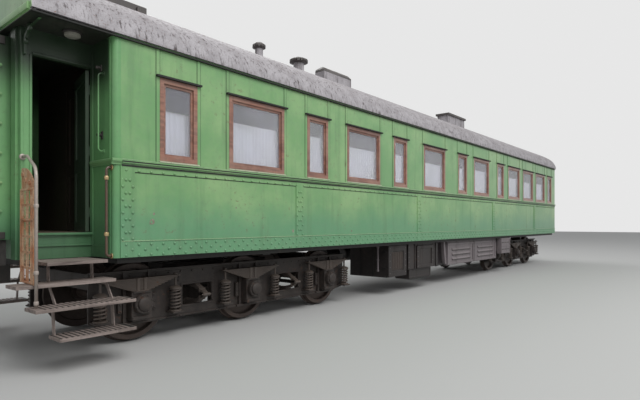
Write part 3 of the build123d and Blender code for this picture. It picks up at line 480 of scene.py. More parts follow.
FINISHES = {
    Slot.BODY: Finish(
        "faded_green_enamel", (0.15, 0.34, 0.13), (0.28, 0.46, 0.2), dirt=(0.07, 0.16, 0.07),
        dust=(0.36, 0.42, 0.32), fade_amount=0.85, dirt_amount=0.35, dust_amount=0.25, rust_amount=0.5,
        low_amount=0.85, smooth=0.3, dull=0.62, bump=0.08,
    ),
    Slot.ROOF: Finish(
        "stained_silver_paint", (0.43, 0.41, 0.43), (0.29, 0.275, 0.29), dirt=(0.045, 0.034, 0.034),
        rust=(0.25, 0.1, 0.06), dust=(0.3, 0.26, 0.25), fade_amount=0.9, dirt_amount=1.0,
        dust_amount=0.2, rust_amount=1.0, fineness=3.8, smooth=0.6, dull=0.85, bump=0.5,
    ),
    Slot.VENT: Finish("soot_dark_paint", (0.05, 0.045, 0.045), (0.1, 0.085, 0.08), rust_amount=0.5),
    # Painted shade: the soffit's green darkened to near black under the roof
    Slot.CEILING: Finish(
        "soffit_paint_painted_shade", (0.008, 0.014, 0.009), (0.014, 0.022, 0.015), rust_amount=0.2
    ),
    # Painted shade: the underframe's black darkened further under the body
    Slot.UNDERFRAME: Finish(
        "dusty_black_paint_painted_shade", (0.004, 0.0035, 0.0034), (0.009, 0.0078, 0.007), dust=(0.05, 0.04, 0.035),
        dust_amount=0.22, smooth=0.6, dull=0.9, bump=0.3,
    ),
    Slot.BOX: Finish(
        "dusty_grey_paint", (0.15, 0.13, 0.14), (0.21, 0.18, 0.19), dust=(0.26, 0.22, 0.21),
        dust_amount=0.35, dirt_amount=0.6, smooth=0.5, dull=0.85, bump=0.2,
    ),
    # Painted shade: the bogie's paint darkened under the body
    Slot.BOGIE: Finish(
        "dusty_bogie_paint_painted_shade", (0.012, 0.0092, 0.0084), (0.03, 0.0225, 0.02), dust=(0.12, 0.09, 0.073),
        dust_amount=0.34, dirt_amount=0.5, rust_amount=0.4, smooth=0.6, dull=0.92, bump=0.5,
    ),
    Slot.SPRING: Finish(
        "oily_spring_steel", (0.06, 0.05, 0.045), (0.12, 0.09, 0.075), dust=(0.2, 0.16, 0.13),
        dust_amount=0.4, rust_amount=0.6, smooth=0.5, dull=0.85, metallic=0.3, bump=0.4,
    ),
    # Painted shade: the wheels' steel darkened under the body
    Slot.WHEEL: Finish(
        "brown_wheel_steel_painted_shade", (0.036, 0.025, 0.022), (0.075, 0.049, 0.038), dust_amount=0.35,
        rust_amount=0.8, smooth=0.45, dull=0.85, metallic=0.35, bump=0.3,
    ),
    Slot.CAST: Finish(
        "black_cast_steel", (0.02, 0.019, 0.019), (0.05, 0.042, 0.038), rust_amount=0.4, smooth=0.55,
        bump=0.5,
    ),
    Slot.RUSTY: Finish(
        "rusted_cast_iron", (0.5, 0.2, 0.09), (0.68, 0.5, 0.33), dirt=(0.07, 0.03, 0.02), fineness=6.0,
        fade_amount=0.9, dirt_amount=0.6, rust_amount=0.9, smooth=0.7, dull=0.95, bump=0.8,
    ),
    Slot.RAIL: Finish(
        "worn_pole_steel", (0.42, 0.36, 0.32), (0.56, 0.5, 0.44), rust_amount=0.5, fineness=4.0,
        smooth=0.35, dull=0.7, metallic=0.15, bump=0.2,
    ),
    Slot.VARNISH: Finish(
        "reddish_varnish", (0.29, 0.125, 0.085), (0.38, 0.24, 0.185), dust=(0.33, 0.24, 0.2),
        dust_amount=0.2, grain=((0.34, 0.15, 0.1), (0.15, 0.06, 0.042)), fade_amount=0.5, coat=0.3,
        smooth=0.35, dull=0.65, fineness=3.0, bump=0.2,
    ),
    Slot.STEP: Finish(
        "weathered_step_wood", (0.16, 0.125, 0.11), (0.3, 0.245, 0.22),
        grain=((0.34, 0.275, 0.25), (0.1, 0.075, 0.067)), fade_amount=0.6, fineness=3.0, smooth=0.7,
        dull=0.95, bump=0.5,
    ),
    Slot.FLOOR: Finish(
        "worn_floor_boards", (0.12, 0.07, 0.045), (0.2, 0.14, 0.1),
        grain=((0.16, 0.1, 0.065), (0.07, 0.04, 0.026)), smooth=0.55, dull=0.85, bump=0.3,
    ),
    Slot.GLASS: Glazing(),
}
MATERIALS = {slot: finish.material() for slot, finish in FINISHES.items()}
CLOTH = Finish(
    "pale_curtain_cotton", (0.78, 0.8, 0.85), (0.68, 0.7, 0.74), dirt=(0.4, 0.39, 0.37),
    dirt_amount=0.2, dust_amount=0.1, rust_amount=0.0, fineness=3.0, smooth=0.8, dull=0.95, bump=0.1,
).material()
ENAMEL = Finish(
    "dull_lamp_enamel", (0.32, 0.31, 0.27), (0.25, 0.24, 0.2), dirt_amount=0.2, rust_amount=0.0,
    smooth=0.3, dull=0.6,
).material()
# The body's green a little darker, with painted shade under the roof and the sill, for the entrance in
# shade
ENTRANCE_ENAMEL = Finish(
    "entrance_enamel_painted_shade", (0.13, 0.33, 0.125), (0.2, 0.41, 0.175), dirt=(0.05, 0.13, 0.055),
    dust=(0.3, 0.38, 0.28), fade_amount=0.75, dirt_amount=0.4, dust_amount=0.15, rust_amount=0.3,
    painted_shade_amount=1.0, low_amount=0.6, smooth=0.32, dull=0.66, bump=0.08,
).material()
# The boxes' paint darkened to near black as painted shade under the floor, with real grime on it
EQUIPMENT_PAINT = Finish(
    "grimy_equipment_paint_painted_shade", (0.011, 0.0085, 0.0085), (0.028, 0.021, 0.02), dust=(0.07, 0.055, 0.05),
    dirt_amount=0.75, dust_amount=0.3, rust_amount=0.3, smooth=0.5, dull=0.85, bump=0.25,
).material()
SILL_CREAM = Finish(
    "flaking_sill_cream", (0.52, 0.58, 0.4), (0.62, 0.64, 0.48), dirt=(0.1, 0.15, 0.08),
    dirt_amount=0.5, rust_amount=0.3, fineness=4.0, smooth=0.4, dull=0.75, bump=0.15,
).material()
# Pale green for painted highlights along the top edges of the bands
HIGHLIGHT_PAINT = Finish(
    "green_painted_highlight", (0.28, 0.48, 0.25), (0.42, 0.58, 0.36), dirt=(0.1, 0.2, 0.1), dirt_amount=0.4,
    rust_amount=0.3, fineness=4.0, smooth=0.35, dull=0.7, bump=0.1,
).material()
CHIPPED = Finish(
    "pale_chip_edge", (0.2, 0.18, 0.13), (0.4, 0.42, 0.32), dirt=(0.07, 0.055, 0.035), dirt_amount=0.6,
    rust_amount=0.25, fineness=9.0, smooth=0.7, dull=0.95, bump=0.5,
).material()
BRASS = Finish(
    "worn_ring_brass", (0.5, 0.36, 0.17), (0.58, 0.46, 0.28), dirt=(0.16, 0.11, 0.06), rust_amount=0.1,
    fineness=4.0, smooth=0.25, dull=0.5, metallic=0.6, bump=0.15,
).material()
GRIP = Finish(
    "brown_grip_varnish", (0.075, 0.04, 0.022), (0.14, 0.085, 0.05), dirt=(0.03, 0.018, 0.012),
    rust_amount=0.1, fineness=4.0, smooth=0.3, dull=0.55, coat=0.2, bump=0.12,
).material()
INNER_WOOD = Finish(
    "shaded_inner_wood", (0.035, 0.022, 0.016), (0.06, 0.04, 0.03), rust_amount=0.0, smooth=0.45,
    dull=0.75, bump=0.12,
).material()
# Near black, for painted shadows under ledges, hoods and eaves, beside battens and between cleats
SHADOW_PAINT = Finish(
    "dark_painted_shadow", (0.005, 0.006, 0.005), (0.01, 0.011, 0.01), dust_amount=0.04, rust_amount=0.0,
    smooth=0.7, dull=0.9,
).material()
LEAF_ENAMEL = Finish(
    "shaded_door_enamel", (0.028, 0.06, 0.032), (0.05, 0.09, 0.05), dust=(0.12, 0.14, 0.1),
    dust_amount=0.2, rust_amount=0.1, smooth=0.35, dull=0.65, bump=0.08,
).material()
CANVAS = Finish(
    "dark_worn_canvas", (0.025, 0.024, 0.024), (0.06, 0.057, 0.054), dirt_amount=0.5, rust_amount=0.0,
    fineness=4.0, smooth=0.85, dull=0.95, bump=0.3,
).material()


OWN_FINISH = {
    "side_door_left": LEAF_ENAMEL,
    "side_door_right": LEAF_ENAMEL,
    "end_door_near": LEAF_ENAMEL,
    # The entrance walls, the near end wall and the near gangway take the green with painted shade
    "vestibule_wall_left": ENTRANCE_ENAMEL,
    "vestibule_wall_right": ENTRANCE_ENAMEL,
    "end_wall_near": ENTRANCE_ENAMEL,
    "gangway_near": ENTRANCE_ENAMEL,
    "equipment_box": EQUIPMENT_PAINT,
    "apparatus_box": EQUIPMENT_PAINT,
    "vestibule_inner_door": INNER_WOOD,
    "partition": INNER_WOOD,
}


def dress_cad_nodes() -> None:
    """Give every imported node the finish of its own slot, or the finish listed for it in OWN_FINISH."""
    slots = {row["node"]: row["material_slot"] for row in frame["record"]["subparts"]}
    for name, node in frame["nodes"].items():
        material = MATERIALS[Slot(slots[name])]
        if not node.material_slots:
            node.data.materials.append(material)
        for place in node.material_slots:
            place.material = OWN_FINISH.get(name, material)


LEFT_RIGHT = (-1.0, 1.0)
ROOT = "coach"
WALL_Y = -1.55
CORNER_X = -9.1
FAR_X = 10.04
PLATE = 0.008
STILL = (0.0, 0.0, 0.0)
AS_IS = (1.0, 1.0, 1.0)


def about(middle: float, half: float) -> Span:
    """Give the span that lies half a width to each side of a middle."""
    return middle - half, middle + half


def pick(*pieces: bpy.types.Object) -> None:
    """Select only these pieces, the first of them active.

    Args:
        pieces: The pieces.
    """
    bpy.ops.object.select_all(action="DESELECT")
    for piece in pieces:
        piece.select_set(True)
    bpy.context.view_layer.objects.active = pieces[0]


def apply_modifier(piece: bpy.types.Object, kind: str, **settings: object) -> None:
    """Add one modifier and apply it.

    Args:
        piece: The piece that it works on.
        kind: The modifier's type.
        settings: Properties set on the modifier.
    """
    pick(piece)
    bpy.ops.object.modifier_add(type=kind)
    modifier = piece.modifiers[-1]
    for key, value in settings.items():
        setattr(modifier, key, value)
    bpy.ops.object.modifier_apply(modifier=modifier.name)


def facing(axis: Axis, way: float) -> Test:
    """Make a test for faces that look one way along an axis.

    Args:
        axis: The axis.
        way: 1 for along it, -1 for against it.

    Returns:
        The test of a face's middle and normal.
    """
    return lambda middle, normal: normal[axis.value] * way > 0.9


def across(axis: Axis) -> Test:
    """Make a test for faces that look either way along an axis.

    Args:
        axis: The axis.

    Returns:
        The test of a face's middle and normal.
    """
    return lambda middle, normal: abs(normal[axis.value]) > 0.9


def unchosen(piece: bpy.types.Object) -> None:
    """Clear the marks of a piece's vertices, edges and faces. Call it in object mode."""
    for group in (piece.data.vertices, piece.data.edges, piece.data.polygons):
        group.foreach_set("select", [False] * len(group))


@contextmanager
def shaping(piece: bpy.types.Object, test: Test | None = None, mode: str = "FACE") -> Iterator[None]:
    """Stay in edit mode on one piece, with chosen faces selected.

    Args:
        piece: The piece.
        test: Takes a face's middle and normal. Without it, what is selected stays so.
        mode: What is selected, VERT, EDGE or FACE.
    """
    if test:
        unchosen(piece)
        for face in piece.data.polygons:
            face.select = test(face.center, face.normal)
    pick(piece)
    bpy.ops.object.mode_set(mode="EDIT")
    bpy.ops.mesh.select_mode(type=mode)
    yield
    bpy.ops.object.mode_set(mode="OBJECT")


def inset(width: float, shift: Point = STILL, each: bool = False) -> None:
    """Inset the selected faces and move what is left of them.

    Args:
        width: How wide the new rim is.
        shift: How far the inner faces move.
        each: Whether each face gets a rim of its own.
    """
    bpy.ops.mesh.inset(thickness=width, use_individual=each)
    bpy.ops.transform.translate(value=shift)


def draw_out(shift: Point, scale: Point = AS_IS) -> None:
    """Extrude the selected faces, then move and scale them.

    Args:
        shift: How far they move.
        scale: The factor along each axis, about their middle.
    """
    bpy.ops.mesh.extrude_region_move(TRANSFORM_OT_translate={"value": shift})
    bpy.ops.transform.resize(value=scale)


def settle(piece: bpy.types.Object) -> None:
    """Put the piece's place into its mesh.

    Args:
        piece: The piece.
    """
    pick(piece)
    bpy.ops.object.transform_apply(location=True, rotation=True, scale=True)


def raw_block(x: Span, y: Span, z: Span) -> bpy.types.Object:
    """Start a piece as a square-edged block, its place in its mesh.

    Args:
        x: Where it starts and ends along X.
        y: The same along Y.
        z: The same along Z.

    Returns:
        The block, to be shaped.
    """
    middle = [(low + high) / 2 for low, high in (x, y, z)]
    size = [high - low for low, high in (x, y, z)]
    bpy.ops.mesh.primitive_cube_add(size=1, location=middle, scale=size)
    piece = bpy.context.active_object
    settle(piece)
    return piece


def soften(piece: bpy.types.Object, width: float, segments: int = 1) -> bpy.types.Object:
    """Round every sharp edge of a piece.

    Args:
        piece: The piece.
        width: How wide the rounding is.
        segments: How many facets it has.

    Returns:
        The piece.
    """
    sharp = {"limit_method": "ANGLE", "angle_limit": radians(40)}
    apply_modifier(piece, "BEVEL", width=width, segments=segments, **sharp)
    return piece


def bar(x: Span, y: Span, z: Span, edge: float = 0.002) -> bpy.types.Object:
    """Make one bar or plate with softened edges.

    Args:
        x: Where it starts and ends along X.
        y: The same along Y.
        z: The same along Z.
        edge: How wide its softened edge is.

    Returns:
        The bar.
    """
    return soften(raw_block(x, y, z), edge)


def raw_rod(middle: Point, radius: float, length: float, axis: Axis, sides: int = 12) -> bpy.types.Object:
    """Start a piece as a rod along one axis, its place in its mesh.

    Args:
        middle: Its middle.
        radius: Its radius.
        length: Its length.
        axis: The axis that it lies along.
        sides: How many sides it has.

    Returns:
        The rod, to be shaped.
    """
    turn = {Axis.X: (0.0, pi / 2, 0.0), Axis.Y: (pi / 2, 0.0, 0.0), Axis.Z: STILL}[axis]
    bpy.ops.mesh.primitive_cylinder_add(
        vertices=sides, radius=radius, depth=length, location=middle, rotation=turn
    )
    piece = bpy.context.active_object
    settle(piece)
    return piece


def raw_cloth(middle: Point, size: Span, cells: tuple[int, int]) -> bpy.types.Object:
    """Start a cloth as an upright grid along X.

    Args:
        middle: Its middle.
        size: Its width and height.
        cells: How many cells it has across and up.

    Returns:
        The cloth, to be pleated.
    """
    upright = (pi / 2, 0.0, 0.0)
    bpy.ops.mesh.primitive_grid_add(
        x_subdivisions=cells[0], y_subdivisions=cells[1], size=1, location=middle, rotation=upright
    )
    piece = bpy.context.active_object
    piece.scale = (*size, 1.0)
    settle(piece)
    return piece


def fold(cloth: bpy.types.Object, depth: float, crest: Callable[[Vector, float], bool]) -> None:
    """Pleat a cloth by moving its crests to both faces.

    Args:
        cloth: The cloth.
        depth: How far a crest moves.
        crest: Takes a vertex's place and the way it would move, and says whether it does.
    """
    for way in LEFT_RIGHT:
        unchosen(cloth)
        for vertex in cloth.data.vertices:
            vertex.select = crest(vertex.co, way)
        with shaping(cloth, mode="VERT"):
            bpy.ops.transform.translate(value=(0.0, way * depth, 0.0))


def joined(name: str, pieces: list[bpy.types.Object]) -> bpy.types.Object:
    """Join pieces into one.

    Args:
        name: The joined piece's name.
        pieces: The pieces.

    Returns:
        The one piece.
    """
    pick(*pieces)
    if len(pieces) > 1:
        bpy.ops.object.join()
    piece = bpy.context.active_object
    piece.name = name
    return piece


def copied(piece: bpy.types.Object, shift: Point, turn: float = 0.0) -> bpy.types.Object:
    """Copy a piece with its own mesh, turn it about its origin and move it.

    Args:
        piece: The piece to copy.
        shift: How far the copy moves.
        turn: The angle about Z.

    Returns:
        The copy, its place in its mesh.
    """
    pick(piece)
    bpy.ops.object.duplicate(linked=False)
    made = bpy.context.active_object
    made.location = shift
    made.rotation_euler = (0.0, 0.0, turn)
    settle(made)
    return made


def both_sides(piece: bpy.types.Object) -> None:
    """Add the same piece on the other side of the coach, in one mesh.

    Args:
        piece: The piece, its place in its mesh.
    """
    apply_modifier(piece, "MIRROR", use_axis=(False, True, False), use_mirror_merge=False)


@dataclass(frozen=True)
class Fixing:
    """How a finished piece is painted, shaded and held."""

    slot: Slot
    finish: bpy.types.Material | None = None
    body: str = ROOT
    mirror: bool = True
    smooth: float = 35.0

    def put(self, name: str, pieces: list[bpy.types.Object]) -> bpy.types.Object:
        """Join pieces, give them their finish and let them ride on their body.

        Args:
            name: The joined piece's name.
            pieces: The pieces, made for the left side where they are mirrored.

        Returns:
            The finished piece.
        """
        piece = joined(name, pieces)
        if self.mirror:
            both_sides(piece)
        pick(piece)
        bpy.ops.object.shade_smooth_by_angle(angle=radians(self.smooth))
        piece.data.materials.clear()
        piece.data.materials.append(self.finish or MATERIALS[self.slot])
        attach(piece, self.body)
        return piece


def node_part(name: str, node: str, keep: Test) -> bpy.types.Object:
    """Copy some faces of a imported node, with the loose triangles merged.

    Args:
        name: The new piece's name.
        node: The node's name.
        keep: Takes a face's middle and normal.

    Returns:
        The piece, to be finished.
    """
    piece = bpy.data.objects.new(name, frame["nodes"][node].data.copy())
    bpy.context.scene.collection.objects.link(piece)
    with shaping(piece, lambda middle, normal: not keep(middle, normal)):
        bpy.ops.mesh.delete(type="FACE")
        bpy.ops.mesh.select_all(action="SELECT")
        bpy.ops.mesh.remove_doubles(threshold=0.00002)
    return piece


class Rivets:
    """Rows of domed rivet heads, all copies of one modelled head."""

    def __init__(self, radius: float) -> None:
        """Model the head.

        Args:
            radius: The head's radius.
        """
        self.head = raw_rod(STILL, radius, radius * 0.8, Axis.Y, 7)
        with shaping(self.head, facing(Axis.Y, -1.0)):
            inset(radius * 0.45, (0.0, -radius * 0.3, 0.0))
        with shaping(self.head, facing(Axis.Y, 1.0)):
            bpy.ops.mesh.delete(type="FACE")
        self.rows: list[bpy.types.Object] = []

    def row(self, first: Point, step: Point = STILL, count: int = 1) -> None:
        """Add a row of heads.

        Args:
            first: The first head's place.
            step: From one head to the next.
            count: How many heads there are.
        """
        made = copied(self.head, first)
        if count > 1:
            line = {"use_relative_offset": False, "use_constant_offset": True}
            apply_modifier(made, "ARRAY", count=count, constant_offset_displace=step, **line)
        self.rows.append(made)

    def taken(self) -> list[bpy.types.Object]:
        """Drop the pattern and hand the rows over.

        Returns:
            The rows, to be joined to another piece.
        """
        bpy.data.objects.remove(self.head)
        return self.rows


@dataclass(frozen=True)
class Opening:
    """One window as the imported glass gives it."""

    first: float
    last: float
    low: float
    high: float

    @property
    def middle(self) -> float:
        """The X of its middle."""
        return (self.first + self.last) / 2

    @staticmethod
    def all() -> "list[Opening]":
        """Read the windows of the left side from the glass node.

        Returns:
            One opening for each pane, from the near end.
        """
        low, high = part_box("window_glass")
        node = frame["nodes"]["window_glass"]
        edges = sorted({round(vertex.co.x, 4) for vertex in node.data.vertices})
        return [Opening(a, b, low[2], high[2]) for a, b in zip(edges[::2], edges[1::2])]


@dataclass
class SideWalls:
    """Cover strips, painted shadow lines, painted highlight lips, chips, rivets, battens, sills and
    painted shadows of both side walls.
    """

    # Lower edge, upper edge, how far it stands out and softened edge of each band along the wall
    green_bands: Rows = (
        (1.213, 1.412, PLATE, 0.002),
        (2.262, 2.336, PLATE, 0.002),
        (2.36, 2.373, 0.037, 0.004),
    )
    # Painted shadow lines at the waist ledge, the same columns
    shadow_bands: Rows = ((2.373, 2.389, 0.0355, 0.001), (2.324, 2.342, 0.02, 0.001))
    # Painted highlights on the top edges of the bottom band and the waist ledge, the same columns
    highlight_bands: Rows = ((1.407, 1.418, 0.019, 0.004), (2.401, 2.4115, 0.037, 0.004))
    bottom: float = 1.213
    under_waist: float = 2.336
    seams: tuple[float, ...] = (-9.019, -5.9, -1.7, 3.08, 7.27)
    seam_half: float = 0.0925
    seam_depth: float = 1.6 * PLATE
    plate_low: float = 1.42
    plate_high: float = 2.26
    # X, Z and radius of each spot where the paint has come off
    chip_spots: Rows = (
        (-8.685, 1.65, 0.035), (-8.66, 1.75, 0.016), (-6.06, 1.5, 0.026), (-6.67, 1.38, 0.02),
        (-7.3, 1.86, 0.012), (-4.4, 1.48, 0.018), (-2.2, 1.62, 0.014), (0.9, 1.44, 0.02),
        (3.6, 1.7, 0.015), (6.3, 1.5, 0.022),
    )
    rivet: float = 0.0185
    pitch: float = 0.17
    # Z and first offset of each row of rivets along the wall
    rivet_rows: Rows = ((2.28, 0.06), (1.24, 0.06), (1.305, 0.145), (1.37, 0.06))
    # Offset from a seam's middle and lowest Z of its rivets
    seam_rivets: Rows = ((0.065, 1.44), (0.026, 1.52))
    batten: float = 0.05
    batten_shade: float = 0.006
    frame_bar: float = 0.096
    hood_over: float = 0.055
    sill_over: float = 0.02

    def laid(self, x: Span, z: Span, depth: float, edge: float = 0.001) -> bpy.types.Object:
        """Lay a flat strip on the left wall.

        Args:
            x: Its two ends.
            z: Its lower and upper edge.
            depth: How far it stands out from the wall.
            edge: How wide its softened edge is.

        Returns:
            The strip.
        """
        return bar(x, (WALL_Y - depth, WALL_Y), z, edge)

    def bands(self, rows: Rows) -> list[bpy.types.Object]:
        """Lay bands along the whole wall.

        Args:
            rows: Lower edge, upper edge, depth and softened edge of each band.

        Returns:
            The bands.
        """
        whole = (CORNER_X, FAR_X)
        return [self.laid(whole, (low, high), depth, edge) for low, high, depth, edge in rows]

    def plates(self) -> None:
        """Lay the raised cover strips, the bottom band, the waist's strip and its bead."""
        *plates, bead = self.bands(self.green_bands)
        height = (self.bottom, self.under_waist)
        seams = [self.laid(about(x, self.seam_half), height, self.seam_depth, 0.002) for x in self.seams]
        Fixing(Slot.BODY).put("cover_strips", [*plates, *seams, bead])

    def lines(self) -> None:
        """Lay the dark painted shadow lines at the waist and the plates' edges, and the pale painted
        highlights on the bands' lips.
        """
        dark = self.bands(self.shadow_bands)
        # Painted shadow along the plates' top and at each seam strip's edge
        dark.append(self.laid((-8.92, 10.0), (2.252, 2.262), 0.005))
        for x in self.seams[:-1]:
            edge = x + self.seam_half
            dark.append(self.laid((edge, edge + 0.005), (self.plate_low, self.plate_high), 0.004))
        Fixing(Slot.BODY, SHADOW_PAINT).put("waist_lines", dark)
        Fixing(Slot.BODY, HIGHLIGHT_PAINT).put("worn_lips", self.bands(self.highlight_bands))

    def chips(self) -> None:
        """Break the paint in a few ragged rusty spots low on the left side."""
        made = []
        for x, z, radius in self.chip_spots:
            chip = raw_rod((x, WALL_Y, z), radius, 0.003, Axis.Y, 11)
            for number in range(0, 22, 3):
                vertex = chip.data.vertices[number]
                vertex.co.x += 0.3 * radius * sin(number * 1.7 + x)
                vertex.co.z += 0.25 * radius * sin(number * 2.3 + z)
            with shaping(chip, facing(Axis.Y, -1.0)):
                inset(radius * 0.35, (0.0, 0.0012, 0.0))
            made.append(chip)
        Fixing(Slot.BODY, CHIPPED, mirror=False).put("paint_chips", made)

    def rivets(self) -> None:
        """Rivet the strips: bands in straight rows, seams in paired zigzags."""
        heads = Rivets(self.rivet)
        count = int((FAR_X - CORNER_X) / self.pitch)
        for z, offset in self.rivet_rows:
            heads.row((CORNER_X + offset, WALL_Y - PLATE, z), (self.pitch, 0.0, 0.0), count)
        for x in self.seams:
            for offset, start in self.seam_rivets:
                for place in about(x, offset):
                    heads.row((place, WALL_Y - self.seam_depth, start), (0.0, 0.0, 0.16), 5)
        Fixing(Slot.BODY, smooth=60.0).put("side_rivets", heads.taken())

    def battens(self) -> None:
        """Stand a batten at each side of each window and lay its sill, and paint dark shadow lines beside
        the battens, under each hood and under the eaves.
        """
        made, sills, shades = [], [], []
        for window in Opening.all():
            left = window.first - self.frame_bar
            right = window.last + self.frame_bar
            for first in (left - self.batten, right):
                made.append(self.laid((first, first + self.batten), (2.412, 3.9), 0.008, 0.003))
                for edge in (first - self.batten_shade, first + self.batten):
                    # Painted shadow beside each batten
                    shades.append(self.laid((edge, edge + self.batten_shade), (2.42, 3.87), 0.004))
            over = (left - self.hood_over, right + self.hood_over)
            # Painted shadow under the window's hood
            shades.append(self.laid(over, (3.509, 3.535), 0.0495))
            over = (left - self.sill_over, right + self.sill_over)
            sill = raw_block(over, (WALL_Y - 0.042, WALL_Y), (2.4105, 2.438))
            with shaping(sill, facing(Axis.Y, -1.0)):
                bpy.ops.transform.resize(value=(0.985, 1.0, 0.45))
                bpy.ops.transform.translate(value=(0.0, 0.0, -0.005))
            sills.append(sill)
        # Painted shadow under the eaves' gutter
        shades.append(bar((-10.09, FAR_X), (WALL_Y - 0.037, WALL_Y + 0.002), (3.861, 3.8775)))
        Fixing(Slot.BODY, SHADOW_PAINT).put("window_shades", shades)
        Fixing(Slot.BODY).put("window_battens", made)
        Fixing(Slot.BODY, SILL_CREAM).put("window_sills", sills)

    def build(self) -> None:
        """Make every piece of the side walls."""
        self.plates()
        self.lines()
        self.chips()
        self.rivets()
        self.battens()


@dataclass
class Curtains:
    """Pleated part curtains on rods behind the glass of every window."""

    drop: float = 0.7
    uneven: float = 0.02
    pleat: float = 0.075
    depth: float = 0.009
    wider: float = 0.05
    higher: float = 0.03
    thickness: float = 0.0015
    rod_y: float = -1.438
    rod_radius: float = 0.005
    rod_below: float = 0.004
    rod_over: float = 0.08
    holder_over: float = 0.07
    holder_half: float = 0.008

    def curtain(self, window: Opening, number: int) -> bpy.types.Object:
        """Hang one curtain.

        Args:
            window: The window that it hangs behind.
            number: The window's number from the near end.

        Returns:
            The curtain.
        """
        width = window.last - window.first + self.wider
        drop = self.drop + self.uneven * ((number * 7) % 5 - 2)
        height = (window.high - window.low) * drop + self.higher
        middle = (window.middle, self.rod_y, window.low - self.higher + height / 2)
        pleats = 2 * round(width / self.pleat / 2)
        cloth = raw_cloth(middle, (width, height), (4 * pleats, 6))
        turn = 2 * pi * pleats / width
        fold(cloth, self.depth, lambda spot, way: sin(turn * (spot.x - window.first)) * way > 0.5)
        apply_modifier(cloth, "SOLIDIFY", thickness=self.thickness, offset=0.0)
        return cloth

    def rail(self, window: Opening, number: int, z: float) -> bpy.types.Object:
        """Put up the rod of one window with its two holders.

        Args:
            window: The window.
            number: The window's number from the near end.
            z: The rod's height.

        Returns:
            The rod.
        """
        length = window.last - window.first + 2 * self.rod_over
        made = [soften(raw_rod((window.middle, self.rod_y, z), self.rod_radius, length, Axis.X, 8), 0.001)]
        for x in (window.first - self.holder_over, window.last + self.holder_over):
            made.append(bar(about(x, self.holder_half), (-1.462, -1.43), about(z, 0.01)))
        return Fixing(Slot.RAIL).put(f"curtain_rod_{number}", made)

    def build(self) -> None:
        """Hang all curtains of both sides, each with its rod."""
        for number, window in enumerate(Opening.all()):
            left = self.curtain(window, number)
            top = max(vertex.co.z for vertex in left.data.vertices)
            rail = self.rail(window, number, top - self.rod_below)
            pick(left)
            bpy.ops.object.duplicate(linked=False)
            right = bpy.context.active_object
            right.scale = (1.0, -1.0, 1.0)
            settle(right)
            with shaping(right):
                bpy.ops.mesh.select_all(action="SELECT")
                bpy.ops.mesh.flip_normals()
            for name, cloth in ((f"curtain_{number}", left), (f"curtain_right_{number}", right)):
                Fixing(Slot.CEILING, CLOTH, mirror=False, smooth=60.0).put(name, [cloth])


